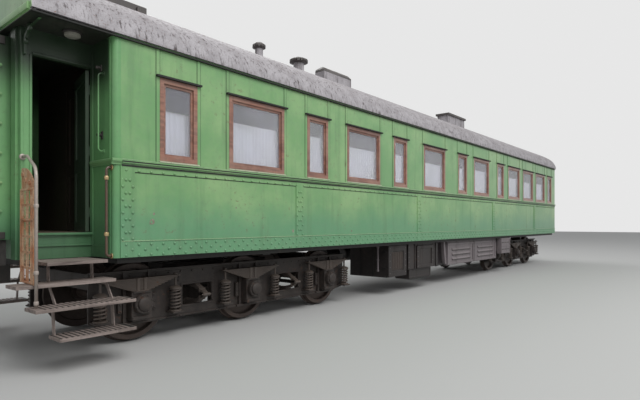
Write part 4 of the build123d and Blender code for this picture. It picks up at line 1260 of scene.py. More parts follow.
@dataclass
class Entrance:
    """Fittings round the recessed entrance of both sides."""

    corner_x: float = -9.19
    wall_y: float = -1.0
    # First X, last X, how far it stands out, lower Z, upper Z and softened edge of each
    # moulding on the vestibule wall: over the door, under it, on the apron, and the pillar's two
    wall_mouldings: Rows = (
        (-9.888, -9.19, 0.022, 3.58, 3.612, 0.006),
        (-9.888, -9.19, 0.045, 1.488, 1.516, 0.006),
        (-10.01, -9.19, 0.02, 1.352, 1.376, 0.006),
        (-10.008, -9.98, 0.01, 1.52, 3.87, 0.003),
        (-9.916, -9.888, 0.012, 1.52, 3.58, 0.003),
    )
    # Y span, Z span, how far it stands out and softened edge of each moulding on the
    # corner's front
    corner_mouldings: Rows = (
        ((-1.035, -1.0), (1.215, 2.33), 0.01, 0.003),
        ((-1.035, -1.0), (2.415, 3.87), 0.01, 0.003),
        ((-1.475, -1.445), (1.215, 2.33), 0.01, 0.003),
        ((-1.475, -1.445), (2.415, 3.87), 0.01, 0.003),
        ((-1.445, -1.035), (1.215, 1.36), 0.007, 0.002),
    )
    # Y, lowest Z and height of the keyhole's and the hook's plate
    latch_plates: Rows = ((-1.27, 2.66, 0.1), (-1.24, 3.5, 0.08))
    latch_half: float = 0.022
    latch_knob: float = 0.016
    knob_growth: float = 1.35
    lamp_x: float = -9.54
    lamp_y: float = -1.25
    lamp_rim_z: float = 3.866
    lamp_rim: float = 0.11
    lamp_dome_z: float = 3.842
    lamp_dome: float = 0.088
    lamp_sides: int = 28
    # How far each ring of the lamp's dome drops and its share of the ring before
    dome_rings: Rows = ((-0.008, 0.86), (-0.006, 0.7), (-0.003, 0.5))
    bracket_x: float = -9.97
    bracket_foot: Span = (3.56, 3.62)
    # Y, Z, radius, length and rim of each scroll of the bracket
    scrolls: Rows = ((-1.17, 3.83, 0.045, 0.026, 0.014), (-1.06, 3.7, 0.034, 0.024, 0.011))
    # How far the bracket's arm goes back, how far up and its growth at each bend
    arm_bends: Rows = (
        (-0.005, 0.07, 1.15),
        (-0.03, 0.06, 1.2),
        (-0.07, 0.05, 1.0),
        (-0.1, 0.035, 0.9),
        (-0.12, 0.015, 0.85),
        (-0.1, 0.005, 0.8),
    )
    fascia_half: float = 1.53
    fascia_x: Span = (-10.125, -10.1)
    fascia_z: Span = (3.893, 3.965)
    soffit_half: float = 1.585
    soffit_x: Span = (-10.1, -10.041)
    soffit_z: Span = (3.868, 3.8775)
    rails_from: float = -9.6
    upper_rails_from: float = 2.4
    pole_x: float = -10.06
    pole_y: float = -1.597
    pole_rings: tuple[float, ...] = (1.815, 1.11, 0.79)
    pole_ring: float = 0.0215
    pole_head: Point = (-9.99, -1.012, 2.386)
    rail_x: float = -9.256
    lower_rail_y: float = -1.5
    upper_rail_y: float = -1.3
    brass_rings: tuple[float, ...] = (2.17, 1.5)
    brass_ring: float = 0.029
    flange_x: float = -9.194
    lower_flanges: tuple[float, ...] = (1.24, 2.3)
    upper_flanges: tuple[float, ...] = (2.51, 3.46)

    def mouldings(self) -> None:
        """Frame the doorway, ledge the apron and cover the joints of pillar and corner post."""
        made = []
        for first, last, out, low, high, edge in self.wall_mouldings:
            made.append(bar((first, last), (self.wall_y - out, self.wall_y), (low, high), edge))
        for width, height, out, edge in self.corner_mouldings:
            made.append(bar((self.corner_x - out, self.corner_x), width, height, edge))
        Fixing(Slot.BODY, ENTRANCE_ENAMEL).put("entrance_mouldings", made)

    def latches(self) -> None:
        """Put the keyhole plate, its knob and the hook bracket on the corner's front."""
        x = self.corner_x
        made = []
        for y, z, tall in self.latch_plates:
            plate = bar((x - 0.012, x), about(y, self.latch_half), (z, z + tall), 0.004)
            knob = raw_rod((x - 0.035, y, z + tall / 2), self.latch_knob, 0.05, Axis.X, 10)
            with shaping(knob, facing(Axis.X, -1.0)):
                bpy.ops.transform.resize(value=(1.0, self.knob_growth, self.knob_growth))
                inset(0.006, (-0.01, 0.0, 0.0))
            made += [plate, knob]
        Fixing(Slot.CAST).put("corner_latches", made)

    def lamp(self) -> None:
        """Fix the round entrance lamp under the soffit."""
        x, y, sides = self.lamp_x, self.lamp_y, self.lamp_sides
        rim = raw_rod((x, y, self.lamp_rim_z), self.lamp_rim, 0.024, Axis.Z, sides)
        Fixing(Slot.CAST).put("entrance_lamp_rim", [soften(rim, 0.006, 2)])
        dome = raw_rod((x, y, self.lamp_dome_z), self.lamp_dome, 0.026, Axis.Z, sides)
        with shaping(dome, facing(Axis.Z, -1.0)):
            for drop, share in self.dome_rings:
                draw_out((0.0, 0.0, drop), (share, share, 1.0))
        Fixing(Slot.CEILING, ENAMEL).put("entrance_lamp_dome", [dome])

    def scroll(self, y: float, z: float, radius: float, length: float, rim: float) -> bpy.types.Object:
        """Cast one scroll of the bracket, thickened at its middle.

        Args:
            y: Its middle's Y.
            z: Its middle's Z.
            radius: Its radius.
            length: Its length along X.
            rim: How wide its rim is.

        Returns:
            The scroll.
        """
        made = raw_rod((self.bracket_x, y, z), radius, length, Axis.X, 16)
        with shaping(made, across(Axis.X)):
            inset(rim, each=True)
            bpy.ops.transform.resize(value=(1.5, 1.0, 1.0))
        return made

    def brackets(self) -> None:
        """Cast the scrolled bracket between the pillar and the soffit."""
        arm = raw_block(about(self.bracket_x, 0.015), (-1.04, self.wall_y), self.bracket_foot)
        with shaping(arm, facing(Axis.Z, 1.0)):
            for back, up, growth in self.arm_bends:
                draw_out((0.0, back, up), (1.0, growth, growth))
        scrolls = [self.scroll(*row) for row in self.scrolls]
        piece = soften(joined("scrolled_brackets", [arm, *scrolls]), 0.004)
        Fixing(Slot.BODY, ENTRANCE_ENAMEL).put("scrolled_brackets", [piece])

    def fascia(self) -> None:
        """Fix the fascia board across the roof's near end and the soffit strip behind it."""
        board = raw_block(self.fascia_x, about(0.0, self.fascia_half), self.fascia_z)
        with shaping(board, facing(Axis.X, -1.0)):
            inset(0.012, (-0.006, 0.0, 0.0))
        Fixing(Slot.BODY, mirror=False).put("end_fascia", [board])
        under = bar(self.soffit_x, about(0.0, self.soffit_half), self.soffit_z)
        Fixing(Slot.CEILING, mirror=False).put("entrance_soffit", [under])

    def rails(self) -> None:
        """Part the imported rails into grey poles, brown lower rails and green upper rails."""
        inner, upper = self.rails_from, self.upper_rails_from
        for name, slot, finish, keep in (
            ("entrance_poles", Slot.RAIL, None, lambda spot, _: spot.x < inner),
            ("brown_grips", Slot.RAIL, GRIP, lambda spot, _: spot.x > inner and spot.z < upper),
            ("green_grips", Slot.BODY, ENTRANCE_ENAMEL, lambda spot, _: spot.x > inner and spot.z > upper),
        ):
            part = node_part(name, "handrails", keep)
            piece = Fixing(slot, finish, mirror=False).put(name, [part])
            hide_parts("handrails")

    def flange(self, y: float, z: float, radius: float) -> bpy.types.Object:
        """Make one round foot of a rail on the corner's front."""
        return soften(raw_rod((self.flange_x, y, z), radius, 0.012, Axis.X, 14), 0.003)

    def collars(self) -> None:
        """Thread the collars on the poles and rails and seat the pole heads on pale knobs."""
        poles = []
        for z in self.pole_rings:
            collar = raw_rod((self.pole_x, self.pole_y, z), self.pole_ring, 0.04, Axis.Z, 14)
            with shaping(collar, lambda middle, normal: abs(normal.z) < 0.1):
                inset(0.008)
                bpy.ops.transform.resize(value=(1.12, 1.12, 1.0))
            poles.append(collar)
        poles.append(soften(raw_rod(self.pole_head, 0.036, 0.028, Axis.Y, 16), 0.009, 2))
        lower = []
        for z in self.brass_rings:
            ring = raw_rod((self.rail_x, self.lower_rail_y, z), self.brass_ring, 0.05, Axis.Z, 14)
            lower.append(soften(ring, 0.009, 2))
        lower += [self.flange(self.lower_rail_y, z, 0.034) for z in self.lower_flanges]
        upper = [self.flange(self.upper_rail_y, z, 0.03) for z in self.upper_flanges]
        Fixing(Slot.RAIL).put("pole_collars", poles)
        Fixing(Slot.RAIL, BRASS).put("brass_collars", lower)
        Fixing(Slot.BODY, ENTRANCE_ENAMEL).put("green_flanges", upper)

    def build(self) -> None:
        """Make every fitting of the entrance."""
        self.mouldings()
        self.latches()
        self.lamp()
        self.brackets()
        self.fascia()
        self.rails()
        self.collars()


@dataclass
class StepGrille:
    """The dense slats, bars and rings of the cast grilles beside the steps."""

    bottom: float = 0.975
    shoulder: float = 2.0
    width: float = 0.449
    rows: int = 6
    columns: int = 3
    slats: int = 4
    slat: float = 0.0105
    slat_pitch: float = 0.031
    slat_y: Span = (0.003, 0.009)
    tie_half: float = 0.006
    gap: float = 0.008
    # The share of a panel's height at which the ties of three slats stand in turn
    tie_levels: tuple[float, ...] = (0.3, 0.72, 0.5)
    bar_levels: tuple[float, ...] = (0.979, 1.66, 1.988)
    bar_height: float = 0.022
    edge_width: float = 0.018
    # X and Z of each ring in the grille's rounded head
    ring_places: Rows = ((0.16, 2.07), (0.3, 2.1), (0.39, 2.17))
    ring_radius: float = 0.03
    corner: Point = (-10.066, -1.578, 0.0)
    lean: Span = (0.448, 0.026)

    def panel(self, left: float, low: float, first: int) -> list[bpy.types.Object]:
        """Fill one panel with its slats and the ties between them.

        Args:
            left: The panel's lowest X.
            low: Its lowest Z.
            first: Which tie level its first slat takes.

        Returns:
            The slats and ties.
        """
        made = []
        rise = (self.shoulder - self.bottom) / self.rows
        for number in range(self.slats):
            x = left + self.slat_pitch * number
            made.append(bar((x, x + self.slat), self.slat_y, (low + self.gap, low + rise - self.gap)))
            level = low + rise * self.tie_levels[(number + first) % len(self.tie_levels)]
            made.append(bar((x - 0.021, x + 0.001), self.slat_y, about(level, self.tie_half)))
        return made

    def ring(self, x: float, z: float) -> bpy.types.Object:
        """Cast one ring with a thin web.

        Args:
            x: Its middle's X.
            z: Its middle's Z.

        Returns:
            The ring.
        """
        made = raw_rod((x, 0.004, z), self.ring_radius, 0.018, Axis.Y, 14)
        with shaping(made, across(Axis.Y)):
            inset(0.01, each=True)
            draw_out(STILL, (1.0, 0.3, 1.0))
        return made

    def build(self) -> None:
        """Model the grille flat, then turn it into its place."""
        rise, run = (self.shoulder - self.bottom) / self.rows, self.width / self.columns
        made = []
        for column in range(self.columns):
            for row in range(self.rows):
                made += self.panel(run * column + 0.028, self.bottom + rise * row, row + column)
        for z in self.bar_levels:
            made.append(bar((0.0, self.width), (-0.012, 0.018), (z, z + self.bar_height), 0.004))
        height = (self.bottom, self.shoulder)
        for x in (0.0, self.width - self.edge_width):
            made.append(bar((x, x + self.edge_width), (-0.01, 0.017), height, 0.004))
        made += [self.ring(x, z) for x, z in self.ring_places]
        flat = joined("flat_grille", made)
        turned = copied(flat, self.corner, atan2(*self.lean))
        bpy.data.objects.remove(flat)
        Fixing(Slot.RUSTY).put("grille_slats", [turned])


@dataclass
class Treads:
    """Worn cleats and the painted shadow between them on the two lower treads of the entrance steps."""

    # First X, last X, front and back from the middle, and the top of each tread
    treads: Rows = ((-10.03, -9.025, 1.75, 1.45, 0.735), (-9.885, -9.045, 1.79, 1.49, 0.41))
    pitch: float = 0.06
    cleat: float = 0.034

    def build(self) -> None:
        """Nail the cleats across the treads, on a dark strip of painted shadow over their tops."""
        cleat_shadows, cleats = [], []
        for first, last, front, back, top in self.treads:
            # Painted shadow: a dark strip over the tread that shows between the cleats
            cleat_shadows.append(bar((first, last), (0.004 - front, -back - 0.004), (top, top + 0.001), 0.0005))
            for number in range(int((last - first) / self.pitch)):
                x = first + 0.012 + self.pitch * number
                cleats.append(bar((x, x + self.cleat), (0.001 - front, -back - 0.01), (top, top + 0.007)))
        Fixing(Slot.STEP, SHADOW_PAINT).put("tread_grime", cleat_shadows)
        Fixing(Slot.STEP).put("tread_cleats", cleats)


@dataclass
class Gangways:
    """Ribs, knobs, battens and canvas of the gangways at both ends."""

    panel_y: float = -0.75
    levels: tuple[float, ...] = (1.77, 2.1, 2.44, 2.78, 3.12, 3.45)
    near_panel: Span = (-10.515, -10.085)
    far_panel: Span = (10.175, 10.515)
    rib_half: float = 0.012
    rib_out: float = 0.012
    knob_radius: float = 0.018
    knob_in: float = 0.05
    batten_in: float = 0.1
    batten_height: Span = (1.46, 3.78)
    cross_heights: tuple[Span, ...] = ((1.45, 1.53), (3.7, 3.79))
    canvas_span: Span = (-10.5, -10.06)
    canvas_y: float = -0.7
    canvas_top: float = 1.44
    canvas_height: float = 0.3
    canvas_held: float = 1.42
    canvas_cells: tuple[int, int] = (24, 8)
    canvas_thickness: float = 0.002
    fold_depth: float = 0.012
    fold_turn: float = 55.0
    fold_slant: float = 9.0

    def ribs(self, panel: Span, name: str) -> None:
        """Rib the side panels of one gangway.

        Args:
            panel: The panels' lowest and highest X.
            name: The joined piece's name.
        """
        y = self.panel_y
        first, last = panel
        made, knobs = [], []
        for z in self.levels:
            rib = (first, last - self.knob_in)
            made.append(bar(rib, (y - self.rib_out, y), about(z, self.rib_half), 0.004))
            for x in (first + self.knob_in, last - self.knob_in):
                knob = raw_rod((x, y - self.rib_out, z), self.knob_radius, 0.03, Axis.Y, 10)
                with shaping(knob, facing(Axis.Y, -1.0)):
                    inset(0.006, (0.0, -0.006, 0.0))
                knobs.append(knob)
        for x in (first + self.batten_in, last - self.batten_in):
            made.append(bar(about(x, 0.02), (y - 0.008, y), self.batten_height, 0.003))
        for height in self.cross_heights:
            made.append(bar(panel, (y - 0.016, y), height, 0.004))
        Fixing(Slot.CAST).put(name, made)
        Fixing(Slot.BODY).put(f"{name}_knobs", knobs)

    def canvas(self) -> None:
        """Fold a worn canvas apron under the near gangway's floor, on both sides."""
        first, last = self.canvas_span
        height = self.canvas_height
        middle = ((first + last) / 2, self.canvas_y, self.canvas_top - height / 2)
        cloth = raw_cloth(middle, (last - first, height), self.canvas_cells)

        def crest(spot: Vector, way: float) -> bool:
            """Say whether a vertex below the canvas's held edge lies on a crest."""
            wave = sin((spot.x - first) * self.fold_turn + spot.z * self.fold_slant)
            return wave * way > 0.45 and spot.z < self.canvas_held

        fold(cloth, self.fold_depth, crest)
        apply_modifier(cloth, "SOLIDIFY", thickness=self.canvas_thickness, offset=0.0)
        piece = Fixing(Slot.BODY, CANVAS, smooth=60.0).put("gangway_canvas_near", [cloth])

    def build(self) -> None:
        """Dress both gangways."""
        self.ribs(self.near_panel, "gangway_ribs_near")
        self.ribs(self.far_panel, "gangway_ribs_far")
        self.canvas()


@dataclass
class RoofFittings:
    """Sheet joints, conduit, end plates and ventilators of the roof."""

    first_joint: float = -8.16
    joint_pitch: float = 2.1
    joint_count: int = 9
    conduit_span: Span = (-9.95, -8.4)
    foot_pitch: float = 0.62
    end_x: float = 10.05
    cap_z: float = 4.93

    def joints(self) -> None:
        """Lay a thin raised joint at the eaves at each roof sheet."""
        made = []
        for number in range(self.joint_count):
            x = self.first_joint + self.joint_pitch * number
            made.append(bar(about(x, 0.02), (-1.594, -1.585), (3.93, 4.0), 0.003))
        Fixing(Slot.ROOF).put("roof_joints", made)

    def conduit(self) -> None:
        """Run the low dark conduit along the roof over the entrance."""
        cover = raw_block(self.conduit_span, (-0.94, -0.87), (4.48, 4.625))
        with shaping(cover, facing(Axis.Z, 1.0)):
            inset(0.015, (0.0, 0.0, 0.012))
        made = [cover]
        for number in range(3):
            x = self.conduit_span[0] + 0.15 + self.foot_pitch * number
            made.append(bar((x, x + 0.05), (-0.98, -0.83), (4.44, 4.59), 0.004))
        Fixing(Slot.VENT, mirror=False).put("roof_conduit", made)

    def ends(self) -> None:
        """Lay a thin green plate over each of the roof's two end faces."""
        name = "roof_end_plates"
        piece = node_part(
            name, "roof", lambda middle, normal: abs(normal.x) >= 0.9 and abs(middle.x) >= self.end_x
        )
        with shaping(piece):
            bpy.ops.mesh.select_all(action="SELECT")
            bpy.ops.mesh.extrude_region_move(TRANSFORM_OT_translate={"value": STILL})
            bpy.ops.transform.resize(value=(1.0003, 1.0, 1.0), center_override=STILL)
        Fixing(Slot.BODY, mirror=False).put(name, [piece])

    def vents(self) -> None:
        """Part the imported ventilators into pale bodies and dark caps."""
        for name, slot, pale in (("vent_bodies", Slot.ROOF, True), ("vent_caps", Slot.VENT, False)):
            part = node_part(
                name,
                "roof_vents",
                lambda middle, normal: (middle.z < self.cap_z and abs(normal.z) < 0.5) == pale,
            )
            piece = Fixing(slot, mirror=False).put(name, [part])
            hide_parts("roof_vents")

    def build(self) -> None:
        """Make every roof piece."""
        self.joints()
        self.conduit()
        self.ends()
        self.vents()


@dataclass
class Bogie:
    """Springs, bolts, covers and edges of one six-wheel bogie."""

    name: str
    pivot: float
    spacing: float = 2.01
    plate_y: float = -0.953
    axle_z: float = 0.553
    cover_y: float = -1.178
    cover_radius: float = 0.128
    # How far each ring of the cover's dome stands out and its share of the ring before
    dome_rings: Rows = ((-0.022, 0.93), (-0.014, 0.8), (-0.006, 0.6))
    bolt_ring: float = 0.116
    bolt_count: int = 8
    bolt_radius: float = 0.013
    box_y: float = -1.117
    # X from the axle and Z of each bolt on the axlebox's face
    box_bolts: Rows = ((-0.125, 0.38), (0.125, 0.38), (-0.12, 0.7), (0.12, 0.7))
    spring_y: float = -1.065
    leaf_count: int = 10
    leaf_short: float = 0.12
    leaf_long: float = 0.59
    leaf_gap: float = 0.0008
    leaf_half: float = 0.045
    leaf_top: float = 0.895
    box_top: float = 0.72
    coil_x: float = 0.55
    coil_radius: float = 0.069
    coil_foot: float = 0.4
    coil_height: float = 0.285
    coil_turns: int = 6
    wire_radius: float = 0.013
    seat_radius: float = 0.088
    seat_z: float = 0.383
    cup_z: float = 0.7
    # How far each ring of the coil's cup rises and its share of the ring before
    cup_rings: Rows = ((0.016, 0.72), (0.012, 0.5))
    coil_bolt_z: float = 0.63
    coil_bolt: float = 0.017
    nut_radius: float = 0.03
    nut_levels: tuple[float, ...] = (0.356, 0.905)
    buckle_x: float = 0.05
    bow_z: float = 0.57
    bow_y: float = -0.665
    bow_reach: float = 0.535
    bow_sag: float = 0.112
    bow_steps: int = 9
    bow_leaves: int = 5
    bow_shorter: float = 0.052
    bow_pitch: float = 0.0135
    bow_thickness: float = 0.0115
    bow_half: float = 0.05
    band_from: Span = (0.104, 0.18)
    eye_y: float = 0.522
    eye_radius: float = 0.023
    pin_radius: float = 0.012
    clip_y: float = 0.41
    clip_from: Span = (0.024, 0.085)
    frame_x: float = 0.285
    frame_z: float = 0.165
    horn_x: float = 0.25

    @property
    def body(self) -> str:
        """The body that the bogie's pieces ride on."""
        return f"bogie_{self.name}"

    @property
    def axles(self) -> tuple[float, ...]:
        """The X of each axle from the pivot."""
        return (-self.spacing, 0.0, self.spacing)

    @property
    def windows(self) -> tuple[float, ...]:
        """The X of the middle of each window in the plate, from the pivot."""
        return (-self.spacing / 2, self.spacing / 2)

    def spread(
        self, name: str, slot: Slot, made: list[bpy.types.Object], places: tuple[float, ...]
    ) -> bpy.types.Object:
        """Copy a pattern to several places of this bogie and to its other side.

        Args:
            name: The joined piece's name.
            slot: The record's slot whose finish it takes.
            made: The pattern's pieces, about the pivot at X = 0.
            places: The X of each copy from the pivot.

        Returns:
            The piece.
        """
        pattern = joined(f"{name}_pattern", made)
        copies = [copied(pattern, (self.pivot + x, 0.0, 0.0)) for x in places]
        bpy.data.objects.remove(pattern)
        return Fixing(slot, body=self.body).put(name, copies)

    def covers(self) -> None:
        """Bolt a domed cover, a crown and a foot rib to each axlebox."""
        cover = raw_rod((0.0, self.cover_y, self.axle_z), self.cover_radius, 0.012, Axis.Y, 24)
        with shaping(cover, facing(Axis.Y, -1.0)):
            inset(0.026)
            for out, share in self.dome_rings:
                draw_out((0.0, out, 0.0), (share, 1.0, share))
        bolts = Rivets(self.bolt_radius)
        for number in range(self.bolt_count):
            angle = (2 * number + 1) * pi / self.bolt_count
            x, z = self.bolt_ring * cos(angle), self.bolt_ring * sin(angle)
            bolts.row((x, self.cover_y - 0.006, self.axle_z + z))
        for x, z in self.box_bolts:
            bolts.row((x, self.box_y, z))
        rib = raw_block(about(0.0, 0.15), (-1.132, -1.115), (0.345, 0.39))
        with shaping(rib, facing(Axis.Z, 1.0)):
            bpy.ops.transform.resize(value=(0.8, 1.0, 1.0))
        soften(rib, 0.003)
        crown = bar(about(0.0, 0.13), (-1.13, -1.115), (0.69, 0.72), 0.004)
        made = [cover, rib, crown] + bolts.taken()
        self.spread(f"axle_covers_{self.name}", Slot.BOGIE, made, self.axles)

    def leaf(self, half: float, low: float, thick: float) -> bpy.types.Object:
        """Shape one straight leaf with thinned ends.

        Args:
            half: Half its length.
            low: The Z of its underside.
            thick: How thick it is.

        Returns:
            The leaf.
        """
        leaf = raw_block(about(0.0, half), about(self.spring_y, self.leaf_half), (low, low + thick))
        with shaping(leaf, across(Axis.X)):
            draw_out(STILL, (1.0 + 0.03 / half, 0.8, 0.5))
        return soften(leaf, 0.0025)

    def coil(self, x: float) -> list[bpy.types.Object]:
        """Wind one coil spring with its seats, cup, bolt and nuts.

        Args:
            x: Its middle from the axle.

        Returns:
            The pieces.
        """
        y = self.spring_y
        start = {"location": (self.coil_radius, 0.0, self.coil_foot), "rotation": (pi / 2, 0.0, 0.0)}
        bpy.ops.object.select_all(action="DESELECT")
        bpy.ops.mesh.primitive_circle_add(
            vertices=7, radius=self.wire_radius, fill_type="NOTHING", **start
        )
        wire = bpy.context.active_object
        settle(wire)
        turns = {"angle": 2 * pi * self.coil_turns, "screw_offset": self.coil_height}
        apply_modifier(wire, "SCREW", steps=66, render_steps=66, use_smooth_shade=True, **turns)
        with shaping(wire):
            bpy.ops.mesh.select_all(action="SELECT")
            bpy.ops.mesh.normals_make_consistent(inside=False)
        wire.location = (x, y, 0.0)
        settle(wire)
        foot = soften(raw_rod((x, y, self.seat_z), self.seat_radius, 0.022, Axis.Z, 20), 0.004)
        cup = raw_rod((x, y, self.cup_z), self.seat_radius, 0.024, Axis.Z, 20)
        with shaping(cup, facing(Axis.Z, 1.0)):
            for rise, share in self.cup_rings:
                draw_out((0.0, 0.0, rise), (share, share, 1.0))
        made = [wire, foot, cup, raw_rod((x, y, self.coil_bolt_z), self.coil_bolt, 0.49, Axis.Z, 10)]
        for z in self.nut_levels:
            made.append(soften(raw_rod((x, y, z), self.nut_radius, 0.03, Axis.Z, 6), 0.004))
        return made

    def axle_springs(self) -> None:
        """Stack the leaves over each axlebox and hang them on their coils."""
        made: list[bpy.types.Object] = []
        thick = (self.leaf_top - self.box_top) / self.leaf_count
        for number in range(self.leaf_count):
            longer = (self.leaf_long - self.leaf_short) * number / (self.leaf_count - 1)
            low = self.box_top + thick * number + self.leaf_gap
            made.append(self.leaf(self.leaf_short + longer, low, thick - 2 * self.leaf_gap))
        for side in LEFT_RIGHT:
            made += self.coil(side * self.coil_x)
            buckle = about(side * self.buckle_x, 0.025)
            made.append(bar(buckle, (-1.122, -1.008), (0.716, 0.9), 0.006))
        made.append(bar(about(0.0, 0.1), (-1.125, -1.005), (0.708, 0.73), 0.005))
        piece = self.spread(f"coiled_axle_springs_{self.name}", Slot.SPRING, made, self.axles)
        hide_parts(f"axle_springs_{self.name}")

    def bow_leaf(self, level: int, way: float) -> bpy.types.Object:
        """Shape one curved leaf of the elliptic spring.

        Args:
            level: Its place in the bow, 0 the longest.
            way: 1 for the upper bow, -1 for the lower.

        Returns:
            The leaf, about Y = 0.
        """
        step = (self.bow_reach - self.bow_shorter * level) / self.bow_steps
        base = self.bow_z + way * (self.bow_sag + 0.006 + self.bow_pitch * level)
        thickness = about(base, self.bow_thickness / 2)
        leaf = raw_block(about(0.0, self.bow_half), (-step, 0.0), thickness)
        with shaping(leaf, facing(Axis.Y, -1.0)):
            for number in range(1, self.bow_steps):
                near, far = step * number, step * (number + 1)
                drop = way * self.bow_sag * (near**2 - far**2) / self.bow_reach**2
                draw_out((0.0, -step, drop))
            bpy.ops.transform.resize(value=(0.7, 1.0, 0.6))
        with shaping(leaf, facing(Axis.Y, 1.0)):
            bpy.ops.mesh.delete(type="FACE")
        halves = {"use_axis": (False, True, False), "use_mirror_merge": True}
        apply_modifier(leaf, "MIRROR", merge_threshold=0.0005, **halves)
        return leaf

    def from_middle(self, way: float, distances: Span) -> Span:
        """Give a span of heights over or under the elliptic spring's middle.

        Args:
            way: 1 for over it, -1 for under it.
            distances: How far its two ends are from the middle.

        Returns:
            The lower and the higher Z.
        """
        low, high = sorted(self.bow_z + way * distance for distance in distances)
        return low, high

    def elliptic_springs(self) -> None:
        """Layer the full elliptic springs whose tips reach out through the plates."""
        made: list[bpy.types.Object] = []
        for way in LEFT_RIGHT:
            made += [self.bow_leaf(level, way) for level in range(self.bow_leaves)]
            height = self.from_middle(way, self.band_from)
            made.append(bar(about(0.0, 0.06), about(0.0, 0.05), height, 0.005))
        for side in LEFT_RIGHT:
            tip = (0.0, side * self.eye_y, self.bow_z)
            made.append(soften(raw_rod(tip, self.eye_radius, 0.13, Axis.X, 14), 0.005))
            made.append(soften(raw_rod(tip, self.pin_radius, 0.165, Axis.X, 6), 0.003))
            clip = about(side * self.clip_y, 0.012)
            for way in LEFT_RIGHT:
                height = self.from_middle(way, self.clip_from)
                made.append(bar(about(0.0, 0.057), clip, height, 0.003))
        pattern = joined("elliptic_spring", made)
        pattern.location = (0.0, self.bow_y, 0.0)
        settle(pattern)
        name = f"layered_elliptic_springs_{self.name}"
        piece = self.spread(name, Slot.SPRING, [pattern], self.windows)
        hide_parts(f"elliptic_springs_{self.name}")

    def plate_fittings(self) -> None:
        """Edge the plates, frame their windows and fix the horn blocks, seats and binders."""
        y = self.plate_y
        made = [
            bar(about(0.0, 2.27), (y - 0.022, y), (0.262, 0.29), 0.004),
            bar(about(0.0, 2.655), (y - 0.03, y), (0.95, 0.979), 0.004),
        ]
        for x in self.windows:
            for side in LEFT_RIGHT:
                upright = about(x + side * self.frame_x, 0.02)
                made.append(bar(upright, (y - 0.012, y), (0.41, 0.73), 0.003))
                level = about(self.bow_z + side * self.frame_z, 0.014)
                made.append(bar(about(x, 0.29), (y - 0.012, y), level, 0.003))
        for x in self.axles:
            for side in LEFT_RIGHT:
                horn = about(x + side * self.horn_x, 0.03)
                made.append(bar(horn, (y - 0.05, y), (0.43, 0.66), 0.006))
                seat = about(x + side * self.coil_x, 0.09)
                made.append(bar(seat, (y - 0.2, y), (0.35, 0.372), 0.005))
            made.append(bar(about(x, 0.26), (y - 0.055, y), (0.264, 0.3), 0.006))
        self.spread(f"plate_fittings_{self.name}", Slot.BOGIE, made, (0.0,))

    def plate_rivets(self) -> None:
        """Rivet the plates along their edges, round their windows and at the horn blocks."""
        x, y = self.pivot, self.plate_y
        bolts = Rivets(0.014)
        bolts.row((x - 2.5, y - 0.002, 0.92), (0.2, 0.0, 0.0), 26)
        bolts.row((x - 2.2, y - 0.022, 0.276), (0.22, 0.0, 0.0), 21)
        for middle in self.windows:
            for side in LEFT_RIGHT:
                frame_x = x + middle + side * self.frame_x
                bolts.row((frame_x, y - 0.012, 0.44), (0.0, 0.0, 0.13), 3)
                bolts.row((x + middle + side * 0.33, y, 0.79), (0.0, 0.0, 0.05), 2)
        for axle in self.axles:
            for side in LEFT_RIGHT:
                horn_x = x + axle + side * self.horn_x
                bolts.row((horn_x, y - 0.05, 0.46), (0.0, 0.0, 0.085), 3)
        rivets = Fixing(Slot.BOGIE, body=self.body, smooth=60.0)
        rivets.put(f"plate_rivets_{self.name}", bolts.taken())

    def build(self) -> None:
        """Make every piece of the bogie."""
        self.covers()
        self.axle_springs()
        self.elliptic_springs()
        self.plate_fittings()
        self.plate_rivets()


